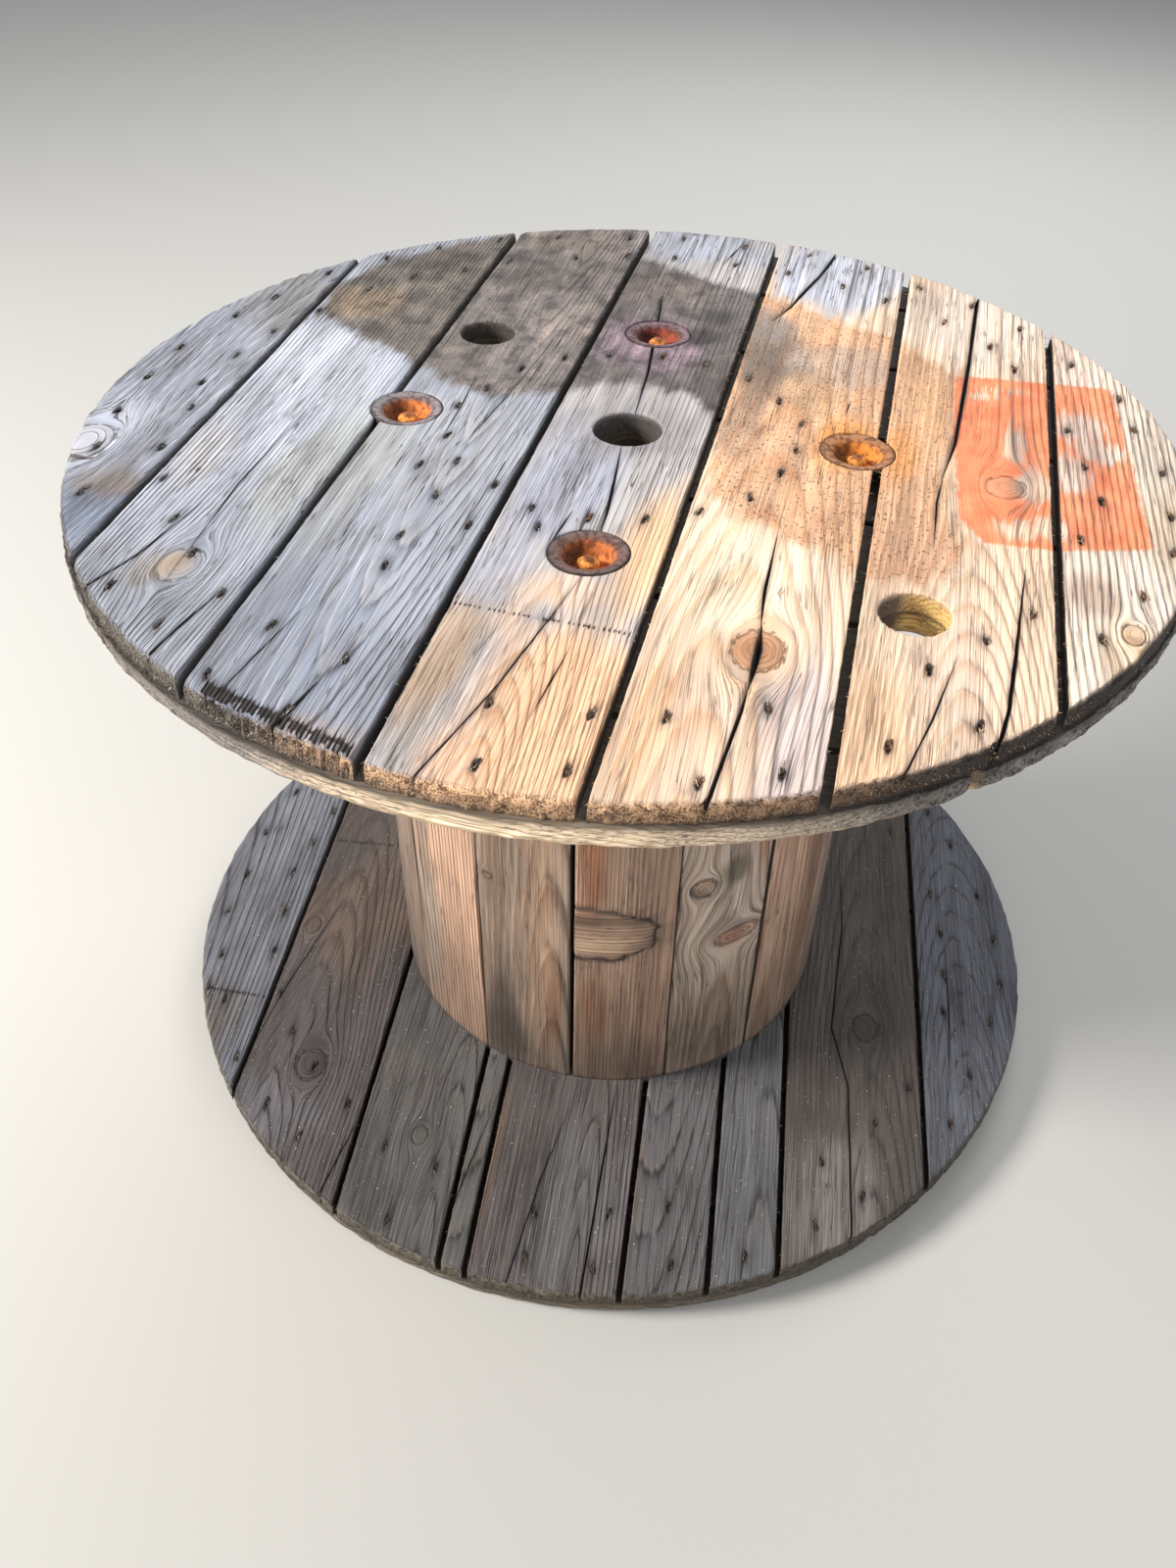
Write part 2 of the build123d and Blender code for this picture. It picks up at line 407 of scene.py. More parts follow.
# Tones of the sawn rims, at the left, in front and at the right
# The top and cross rims are painted lit in front and shaded at the sides, darkest at the right
TOP_RIM = ("#6E665D", "#EFC197", "#3B322D")
CROSS_RIM = ("#8C857F", "#F0DCC0", "#837E7A")
BASE_RIM = ("#6E665A", "#6B6253", "#5A5248")
# Painted warm sunlight on the right-hand wall of the drive hole
SUNLIT_BORE = "#F6CE82"


def depth_inside(x, y, edge):
    """Distance in from a closed edge in plan, negative outside it."""
    closed = (*edge, edge[0])
    within = np.zeros(np.shape(x), bool)
    for (ax, ay), (bx, by) in zip(closed, closed[1:]):
        spans = (ay > y) != (by > y)
        within ^= spans & (x < ax + (y - ay) / (by - ay + 1e-9) * (bx - ax))
    gap, _ = along_line(x, y, closed)
    return np.where(within, gap, -gap)


def painted(tones, number, x, y):
    """Tone at each point: a board's own, with soft-edged blotches over it."""
    base, blotches = tones.get(number) or tones[0]
    colour = np.tile(tone(base), (len(x), 1))
    for *blotch, code, strength in blotches:
        gap = oval_gap(x, y, *blotch) + 0.3 * wander(x / 26, y / 60, number)
        colour = mixed(colour, tone(code), strength * (1 - step(0.5, 1.25, gap)))
    return colour


def rim_tone(codes, x, y):
    """Tone of a sawn rim at each place, painted lit or shaded: its left one, front one or right
    one.
    """
    left, front, right = (tone(code) for code in codes)
    colour = mixed(front, left, step(-40, -190, x))
    colour = mixed(colour, right, step(60, 330, x))
    return mixed(colour, left, step(-100, 60, y))


def node_points(name):
    """Corners of a CAD node."""
    return np.array([v.co for v in frame["nodes"][name].data.vertices]) / MM


def node_plan(name, turn):
    """A board's low and high edges, underside, top and rim radius, from its CAD node."""
    co = node_points(name)
    x, y = turned(co[:, 0], co[:, 1], -turn)
    return x.min(), x.max(), co[:, 2].min(), co[:, 2].max(), np.hypot(x, y).max()


def outline(low, high, rim, along_rim, along_edge):
    """Closed loop of points round the part of a disc between two long edges."""
    low_angle = math.acos(max(-1, min(1, low / rim)))
    high_angle = math.acos(max(-1, min(1, high / rim)))
    count = max(3, round((low_angle - high_angle) * rim / along_rim))
    arc = np.linspace(high_angle, low_angle, count)
    parts = [np.stack([rim * np.cos(arc), rim * np.sin(arc)], 1)]
    for edge, down in ((low, True), (high, False)):
        half = math.sqrt(max(0, rim * rim - edge * edge))
        if half > along_edge:
            rows = max(2, round(half / along_edge))
            y = np.linspace(half, -half, 2 * rows)[1:-1]
            y = y if down else -y
            parts.append(np.stack([np.full(len(y), edge), y], 1))
        if down:
            parts.append(np.stack([rim * np.cos(-arc[::-1]), rim * np.sin(-arc[::-1])], 1))
    loop = np.concatenate(parts)
    keep = np.hypot(*(loop - np.roll(loop, 1, 0)).T) > 0.2
    return loop[keep]


def oval(x, y, half_width, half_length, count):
    """Closed loop of points round an oval."""
    angles = np.linspace(0, TAU, count, endpoint=False)
    return np.stack([x + half_width * np.cos(angles), y + half_length * np.sin(angles)], 1)


def resample(line, spacing):
    """Points at an even spacing along a line, and how far along it each is."""
    line = np.array(line, float)
    reach = np.concatenate([[0], np.cumsum(np.hypot(*np.diff(line, axis=0).T))])
    count = max(2, round(reach[-1] / spacing) + 1)
    at = np.linspace(0, reach[-1], count)
    course = np.stack([np.interp(at, reach, line[:, 0]), np.interp(at, reach, line[:, 1])], 1)
    return course, at / reach[-1]


def ridge_profile(ring):
    """Height across a year's ring: soft early wood low, late wood high, then a sharp drop."""
    phase = ring - np.floor(ring)
    return step(0.05, 0.85, phase) * (1 - step(0.88, 1.0, phase))


class Board:
    """One flat board: where it lies, what is cut in it and what has happened to it."""

    def __init__(self, node, number, layer):
        self.node, self.number, self.turn = node, number, layer["turn"]
        self.low, self.high, self.underside, self.top, self.rim = node_plan(node, self.turn)
        self.seed = sum(ord(letter) * (i + 1) for i, letter in enumerate(node)) % 997
        rng = random.Random(self.seed)
        width = self.high - self.low
        usual = (
            self.low + width * rng.uniform(0.1, 0.9), rng.uniform(40, 90),
            rng.uniform(0.03, 0.08) * rng.choice((-1, 1)), rng.uniform(4.0, 5.4), 0.45,
        )
        self.cut = CUTS.get(node, usual)
        self.figure_end = FIGURE_ENDS.get(node, NO_FIGURE_END)
        self.holes = [(*self.own(x, y), r) for x, y, r in layer["holes"]]
        self.holes = [hole for hole in self.holes if self.holds(hole[0], hole[2])]
        self.knots = [(*self.own(x, y), *halves) for x, y, *halves in layer["knots"]]
        self.knots = [knot for knot in self.knots if self.holds(knot[0], 0)]
        self.cracks = []
        for width, depth, line in layer["cracks"]:
            line = [self.own(*point) for point in line]
            if self.holds(line[len(line) // 2][0], -2) and self.holds(line[0][0], 0):
                self.cracks.append((width, depth, line))
        nails = [self.own(x, y) for x, y in layer["nails"]]
        self.nails = [nail for nail in nails if self.holds(nail[0], -6) and self.solid_at(*nail)]
        for start, end, tip in layer["joints"]:
            self.add_joint(self.own(*start), self.own(*end), tip)

    def own(self, x, y):
        """A place on the drum in the board's own plan, where its length runs along Y."""
        return turned(x, y, -self.turn)

    def holds(self, x, margin):
        """Whether a place across lies between the board's long edges, give or take a margin."""
        return self.low - margin < x < self.high + margin

    def solid_at(self, x, y):
        """Whether there is wood for a nail here, well clear of the holes."""
        return all(math.hypot(x - hx, y - hy) > r + 8 for hx, hy, r in self.holes)

    def add_joint(self, start, end, tip):
        """A row of finger joints, where each tooth's tip has opened into a short crack."""
        count = int(math.dist(start, end) / FINGER_PITCH)
        rng = random.Random(self.seed)
        for i in range(count + 1):
            x = start[0] + (end[0] - start[0]) * i / count
            y = start[1] + (end[1] - start[1]) * i / count
            if self.low + 3 < x < self.high - 3 and math.hypot(x, y) < self.rim - 6:
                length = tip * rng.uniform(0.6, 1.3)
                width = max(1.5, tip / 5) * rng.uniform(0.8, 1.2)
                self.cracks.append((width, 2.5, [(x, y - length), (x, y + length)]))

    def inside(self, x, y, margin=0.0):
        """Which points lie on the board and at least a margin from its edges and holes."""
        within = (x > self.low + margin) & (x < self.high - margin)
        within &= np.hypot(x, y) < self.rim - margin
        for hx, hy, r in self.holes:
            within &= np.hypot(x - hx, y - hy) > r + margin
        return within

    def edge_distances(self, x, y):
        """Distance in from the long edges, from the rim and from the nearest hole."""
        low_gap = x - self.low if self.low > 2 - self.rim else np.full_like(x, FAR)
        high_gap = self.high - x if self.high < self.rim - 2 else np.full_like(x, FAR)
        hole_gap = np.full_like(x, FAR)
        for hx, hy, r in self.holes:
            hole_gap = np.minimum(hole_gap, np.hypot(x - hx, y - hy) - r)
        return np.minimum(low_gap, high_gap), self.rim - np.hypot(x, y), hole_gap

    def runs_out(self, place):
        """Whether a crack that ends at this place runs out at the rim."""
        return math.hypot(*place) > self.rim - RUNS_OUT

    def crack_profile(self, t, line):
        """How open a crack is along its course: closed at its ends, unless it runs out."""
        opened = np.sin(np.clip(t, 0, 1) * math.pi) ** 0.6
        for end, share in ((line[0], 1 - t), (line[-1], t)):
            if self.runs_out(end):
                opened = np.maximum(opened, step(0.4, 0.8, share))
        return opened

    def knot_gap(self, x, y):
        """How far points are from the nearest knot: 0 at its heart, 1 at its edge."""
        nearest = np.full_like(x, NO_KNOT)
        for knot in self.knots:
            nearest = np.minimum(nearest, oval_gap(x, y, *knot))
        return nearest

    def rings(self, x, y, z):
        """Where the grain runs: across it, with a swerve round each knot, and the year's ring."""
        flow = x.copy()
        for kx, ky, half_width, _ in self.knots:
            reach = (1.15 * half_width) ** 2
            far = (x - kx) ** 2 + (0.55 * (y - ky)) ** 2
            flow = flow - (x - kx) * reach / np.maximum(far, reach)
        pith, depth, taper, width, _ = self.cut
        along = -30 * np.logaddexp(-y / 30, -self.figure_end / 30)
        ring = np.hypot(flow - pith, depth + taper * along + z) / width
        gap = self.knot_gap(x, y)
        ring = np.where(gap < 1, 200 + 4.5 * gap, ring)
        return flow, ring

    def relief(self, x, y):
        """Height of the weathered face below the CAD's face, and distance to the closest hurt."""
        z = -SUNK + 0.25 * wander(x / 45, y / 160, self.seed)
        _, ring = self.rings(x, y, np.zeros_like(x))
        weathered = 0.3 + 0.7 * step(200, 400, np.hypot(x, y))
        z = z + self.cut[4] * weathered * (ridge_profile(ring) - 1)
        long_gap, rim_gap, hole_gap = self.edge_distances(x, y)
        rounds = ((long_gap, LONG_EDGE_ROUND), (rim_gap, RIM_ROUND), (hole_gap, HOLE_ROUND))
        for gap, round_off in rounds:
            z -= rounded(gap, round_off * (1 + 0.35 * wander(x / 14, y / 14, self.seed + 3)))
        hurt = np.full_like(x, UNHURT)
        for width, depth, line in self.cracks:
            gap, t = along_line(x, y, line)
            opened = self.crack_profile(t, line)
            half = np.maximum(width / 2 * opened, 0.05)
            z -= depth * opened * np.clip(1 - gap / half, 0, 1)
            spread = 1.6 if depth > 3 else 5.0
            hurt = np.minimum(hurt, spread * np.maximum(gap - half, 0) + 3 * (1 - opened))
        for i, (nx, ny) in enumerate(self.nails):
            half_width, half_length, depth = NAIL_DENT
            skew = (x - nx) - 0.18 * math.sin(i * 2.1) * (y - ny)
            z -= depth * (1 - step(0.15, 1.0, oval_gap(skew, y, 0, ny, half_width, half_length)))
            around = np.hypot(skew, 0.42 * (y - ny)) * (1 + 0.3 * wander(x / 3, y / 7, self.seed))
            hurt = np.minimum(hurt, np.maximum(around - 2.6, 0.2 * around))
        for knot in self.knots:
            gap = oval_gap(x, y, *knot)
            z += 0.5 * (1 - step(0.0, 0.9, gap))
            z += 0.5 * bead(gap, 1.3, 0.2) - 0.9 * bead(gap, 1, 0.1)
        return np.minimum(z, -SHY), hurt

    def plan_points(self, across, lengthwise):
        """Points and fixed edges of the face: outline, holes, marks and a fill in between."""
        points, fixed = [], []

        def add(loop, closed=True):
            """Adds a line of points that the triangles have to follow."""
            first = sum(len(part) for part in points)
            points.append(np.asarray(loop, float))
            count = len(loop)
            for i in range(count if closed else count - 1):
                fixed.append((first + i, first + (i + 1) % count))

        for inset in (0.0, 0.8, 2.0, 4.2):
            low, high = self.low + inset, self.high - inset
            add(outline(low, high, self.rim - inset, 2.3 + 0.5 * inset, 6 + inset))
        for hx, hy, r in self.holes:
            for inset, count in ((0.0, 72), (1.2, 56), (3.0, 40)):
                add(oval(hx, hy, r + inset, r + inset, count))
        taken = []
        for width, depth, line in self.cracks:
            short = math.dist(line[0], line[-1]) < 20
            course, t = resample(line, 3.0 if short else 5.0)
            ahead = np.gradient(course, axis=0)
            ahead /= np.hypot(*ahead.T)[:, None]
            side = np.stack([-ahead[:, 1], ahead[:, 0]], 1)
            half = np.maximum(width / 2 * self.crack_profile(t, line), 0.08)[:, None]
            for offset in (0.0, -1.0, 1.0):
                add(course + side * half * offset, closed=False)
            taken.append((line, width / 2 + 1.0))
        for nx, ny in self.nails:
            for share, count in ((0.15, 6), (0.55, 10), (1.0, 12)):
                add(oval(nx, ny, NAIL_DENT[0] * share, NAIL_DENT[1] * share, count))
        for kx, ky, half_width, half_length in self.knots:
            for share in KNOT_OVALS:
                count = round(24 + 14 * share)
                add(oval(kx, ky, half_width * share, half_length * share, count))
        columns = np.arange(self.low + across / 2, self.high, across)
        rows = np.arange(-self.rim, self.rim, lengthwise)
        x, y = (grid.ravel() for grid in np.meshgrid(columns, rows))
        y = y + lengthwise / 2 * (np.round((x - columns[0]) / across) % 2)
        rng = np.random.default_rng(self.seed)
        x = x + rng.uniform(-0.2, 0.2, len(x)) * across
        y = y + rng.uniform(-0.2, 0.2, len(x)) * lengthwise
        keep = self.inside(x, y, 4.6)
        for line, clear in taken:
            keep &= along_line(x, y, line)[0] > clear
        for nail in self.nails:
            keep &= oval_gap(x, y, *nail, *NAIL_DENT[:2]) > 1.1
        keep &= self.knot_gap(x, y) > 2.5
        points.append(np.stack([x[keep], y[keep]], 1))
        return np.concatenate(points), fixed

    def triangulate(self, points, fixed, stretch):
        """Triangles of the face, without those outside the outline or in a hole. The plan is
        squeezed lengthwise meanwhile, so that the triangles come out long, as the grain is."""
        flat = [Vector((x, y / stretch)) for x, y in points.tolist()]
        corners, _, faces, *_ = delaunay_2d_cdt(flat, fixed, [], 0, 1e-4, False)
        corners = np.array([(corner.x, corner.y * stretch) for corner in corners])
        faces = np.array([tuple(face) for face in faces])
        centre = corners[faces].mean(1)
        faces = faces[self.inside(centre[:, 0], centre[:, 1], 0.02)]
        used, index = np.unique(faces, return_inverse=True)
        faces = index.reshape(faces.shape)
        corners = corners[used]
        a, b, c = (corners[faces[:, i]] for i in range(3))
        area = (b[:, 0] - a[:, 0]) * (c[:, 1] - a[:, 1]) - (b[:, 1] - a[:, 1]) * (c[:, 0] - a[:, 0])
        faces[area < 0] = faces[area < 0][:, ::-1]
        return corners, faces[np.abs(area) > 1e-7]

    def border(self, faces):
        """Directed edges that only one triangle uses: the outline and the holes."""
        edges = np.concatenate([faces[:, [0, 1]], faces[:, [1, 2]], faces[:, [2, 0]]])
        seen = set(map(tuple, edges.tolist()))
        return sorted((a, b) for a, b in seen if (b, a) not in seen)

    def ragged(self, x, y, depth):
        """Moves points near the edges inward unevenly, more where the saw tore the rim."""
        long_gap, rim_gap, _ = self.edge_distances(x, y)
        middle = (self.low + self.high) / 2
        nick = RAGGED * (0.5 + 0.5 * wander(y / 6, np.full_like(x, depth / 6), self.seed + 5))
        shift = nick * np.clip(1 - long_gap / 4, 0, 1) * np.sign(middle - x)
        radius = np.maximum(np.hypot(x, y), 1)
        end_grain = step(0.35, 0.7, np.abs(y) / radius)
        tuft = wander(x / 2.6, np.full_like(y, depth / 9), self.seed + 7)
        tear = 1.9 * end_grain * (0.5 + 0.5 * tuft)
        tear = tear + 1.6 * (0.5 + 0.5 * wander(x / 10, y / 10 + depth / 8, self.seed + 8))
        for width, _, line in self.cracks:
            for end in filter(self.runs_out, (line[0], line[-1])):
                near = np.hypot(x - end[0], y - end[1]) < 30
                split = bead(x, end[0], 0.6 * width) * near
                tear = tear + 3.5 * split * step(26, 4, depth)
        inward = tear * np.clip(1 - rim_gap / 5, 0, 1)
        return x + shift - x / radius * inward, y - y / radius * inward

    def mesh(self, spacing):
        """Closed mesh in the board's own plan with its worn face on top: points, faces, each
        point's place before it was worn, and its distance to the closest hurt."""
        across, lengthwise = spacing
        stretch = lengthwise / across / 1.5
        plan, faces = self.triangulate(*self.plan_points(across, lengthwise), stretch)
        z, hurt = self.relief(*plan.T)
        corners = [np.stack([*self.ragged(*plan.T, 0.0), z], 1)]
        border = self.border(faces)
        ring = sorted({a for a, _ in border})
        spot = {v: i for i, v in enumerate(ring)}
        edge = plan[ring]
        walls = []
        count = len(plan)
        previous = {v: v for v in ring}
        thickness = self.top - self.underside
        depths = (*WALL_DEPTHS, thickness)
        for depth in depths:
            level = np.full(len(ring), -depth)
            if depth < thickness:
                level = np.minimum(z[ring] - 0.3, level)
            corners.append(np.stack([*self.ragged(*edge.T, depth), level], 1))
            current = {v: count + spot[v] for v in ring}
            walls += [(previous[b], previous[a], current[a], current[b]) for a, b in border]
            previous = current
            count += len(ring)
        back = self.back_faces(edge, [(spot[a], spot[b]) for a, b in border])
        first = count - len(ring)
        walls += [tuple(first + i for i in reversed(face)) for face in back]
        before = np.concatenate([plan] + [edge] * len(depths))
        hurt = np.concatenate([hurt, np.full(len(depths) * len(ring), UNHURT)])
        return np.concatenate(corners), faces.tolist() + walls, before, hurt

    def back_faces(self, points, edges):
        """Triangles over the outline alone, for the plain back."""
        flat = [Vector(point) for point in points.tolist()]
        corners, _, faces, sources, *_ = delaunay_2d_cdt(flat, edges, [], 0, 1e-5, True)
        found = np.array([tuple(corner) for corner in corners])
        kept = []
        for face in faces:
            centre = found[list(face)].mean(0)[:, None]
            if self.inside(*centre, 0.02)[0] and all(sources[i] for i in face):
                a, b, c = (sources[i][0] for i in face)
                ab, ac = points[b] - points[a], points[c] - points[a]
                area = ab[0] * ac[1] - ab[1] * ac[0]
                if abs(area) > 1e-9:
                    kept.append((a, b, c) if area > 0 else (a, c, b))
        return kept

    def dirt_and_painted_shade(self, z, long_gap, rim_gap, faces_up):
        """Dirt and painted shade deep in the gaps between boards, low on the rim and along its
        lowest edge.
        """
        in_gap = step(-1.5, -9.0, z) * step(2.5, 0.3, long_gap) * step(1.0, 6.0, rim_gap)
        low_shade = step(-5.0, -18.0, z) if faces_up else step(-14.0, -19.0, z)
        on_rim = 0.55 * low_shade * step(4.0, 1.0, rim_gap)
        return np.maximum(np.maximum(in_gap, on_rim), 0.9 * step(-19.0, -19.9, z))

    def fields(self, points, before, hurt, layer):
        """What the wood's material needs to know at each point of the board."""
        x, y = before.T
        z = points[:, 2]
        place_x, place_y = turned(x, y, self.turn)
        level = np.minimum(z + RELIEF_DEPTH, 0)
        flow, ring = self.rings(x, y, level)
        long_gap, rim_gap, hole_gap = self.edge_distances(x, y)
        across_grain = step(0.3, 0.7, np.abs(y) / np.maximum(np.hypot(x, y), 1))

        # Painted shade darkens the holes' walls, but the drive hole's right side is painted sunlit
        in_bore = step(-1.0, -5.0, z) * step(2.0, 0.2, hole_gap)
        off_x, off_y = place_x - drive_hole[0], place_y - drive_hole[1]
        lit_bore_side = in_bore * step(42, 34, np.hypot(off_x, off_y)) * step(-4, 10, off_x + 0.5 * off_y)
        grime = self.dirt_and_painted_shade(z, long_gap, rim_gap, layer["faces_up"])
        grime = np.maximum(grime, in_bore * (0.97 - 0.75 * lit_bore_side))

        # The rims' tones carry painted light in front and painted shade at the sides
        on_rim = step(4.5, 0.5, rim_gap) * step(-1.0, -4.0, z)
        sawn = rim_tone(layer["rim"], place_x, place_y)
        clean, stained = (
            mixed(painted(tones, self.number, place_x, place_y), sawn, on_rim)
            for tones in (layer["tones"], layer["stained"] or layer["tones"])
        )
        clean = mixed(clean, tone(SUNLIT_BORE), lit_bore_side)
        colourless = 1 - (clean.max(1) - clean.min(1)) / clean.max(1)

        stain = paint = np.full(len(x), UNSTAINED)
        worn = np.zeros(len(x))
        rough = np.full(len(x), 1.5)
        if layer["marked"]:
            stain = depth_inside(place_x, place_y, STAIN_EDGE)
            paint = np.where(z > -4, depth_inside(place_x, place_y, PAINT_EDGE), UNSTAINED)
            for wear in PAINT_WEAR:
                worn = np.maximum(worn, 1 - step(0.4, 1.5, oval_gap(place_x, place_y, *wear)))
            # Rain has roughened the top most near its rim; the other layers are rough all over
            rough = step(230, 50, rim_gap + 60 * wander(place_x / 50, place_y / 90, 5))
        return {
            "grain": np.stack([flow + self.seed * 37.0, y + self.seed * 53.0, level], 1),
            "ring": ring, "clean": clean, "stained": stained, "stain": stain, "paint": paint,
            "worn": worn, "hurt": hurt, "end": step(3.5, 0.3, rim_gap) * across_grain,
            "grime": grime, "knot": self.knot_gap(x, y),
            "silver": step(0.60, 0.86, colourless), "rough": rough,
        }

    def put_back(self, points, faces, faces_up):
        """The mesh at its CAD node's place, with the worn face up or down."""
        x, y = turned(points[:, 0], points[:, 1], self.turn)
        if faces_up:
            return np.stack([x, y, self.top + points[:, 2]], 1), faces
        mirrored = [tuple(reversed(face)) for face in faces]
        return np.stack([x, y, self.underside - points[:, 2]], 1), mirrored


def within_drum(points):
    """Points with those that stick out past the drum's rim or faces brought back in."""
    out = np.hypot(points[:, 0], points[:, 1])
    kept = points * 1.0
    kept[:, :2] *= np.minimum(1, (DRUM_RADIUS - SHY) / np.maximum(out, 1))[:, None]
    kept[:, 2] = np.clip(points[:, 2], SHY, DRUM_HEIGHT - SHY)
    return kept


def add_object(name, data):
    """Puts an object with its data into the scene."""
    added = bpy.data.objects.new(name, data)
    bpy.context.scene.collection.objects.link(added)
    return added


def add_piece(name, points, faces, fields, material, slot, replaces=(), sharp=38):
    """Makes a mesh from points in millimetres, with its fields as attributes, on the drum."""
    mesh = bpy.data.meshes.new(name)
    mesh.from_pydata((within_drum(points) * MM).tolist(), [], faces)
    for field, values in fields.items():
        kind, member = ("FLOAT_VECTOR", "vector") if np.ndim(values) == 2 else ("FLOAT", "value")
        attribute = mesh.attributes.new(field, kind, "POINT")
        attribute.data.foreach_set(member, np.asarray(values, np.float32).ravel())
    mesh.materials.append(material)
    mesh.shade_smooth()
    mesh.set_sharp_from_angle(angle=math.radians(sharp))
    piece = add_object(name, mesh)
    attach(piece, "root")
    if replaces:
        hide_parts(*replaces)


def node(tree, kind, inputs=(), out=0, stops=(), **settings):
    """Adds a shader node, sets its properties and sockets, links sockets given as values, and
    gives back one of its outputs."""
    added = tree.nodes.new("ShaderNode" + kind)
    for name, value in settings.items():
        setattr(added, name, value)
    for name, value in dict(inputs).items():
        if isinstance(value, bpy.types.NodeSocket):
            tree.links.new(value, added.inputs[name])
        else:
            added.inputs[name].default_value = value
    for i, (position, colour) in enumerate(stops):
        elements = added.color_ramp.elements
        element = elements[i] if i < len(elements) else elements.new(1.0)
        element.position, element.color = position, colour
    return added.outputs[out]


# Settings that many nodes share: a smooth rise between two values, a blend of two colours, one
# colour multiplied by another, a product, and a product with a number added. Sockets go by their
# numbers: a rise from 1 to 2 gives 3 to 4, and a blend goes by its share 0 from colour 6 to 7.
SMOOTH = dict(interpolation_type="SMOOTHSTEP")
BLEND = dict(out=2, data_type="RGBA")
TINT = dict(out=2, data_type="RGBA", blend_type="MULTIPLY")
TIMES = dict(operation="MULTIPLY")
TIMES_PLUS = dict(operation="MULTIPLY_ADD")


def plain_stops(*stops):
    """Stops of a colour ramp that gives plain levels."""
    return [(position, (level,) * 4) for position, level in stops]


def new_material(name):
    """A material with its nodes and its surface shader."""
    material = bpy.data.materials.new(name)
    material.use_nodes = True
    tree = material.node_tree
    return material, tree, tree.nodes["Principled BSDF"]


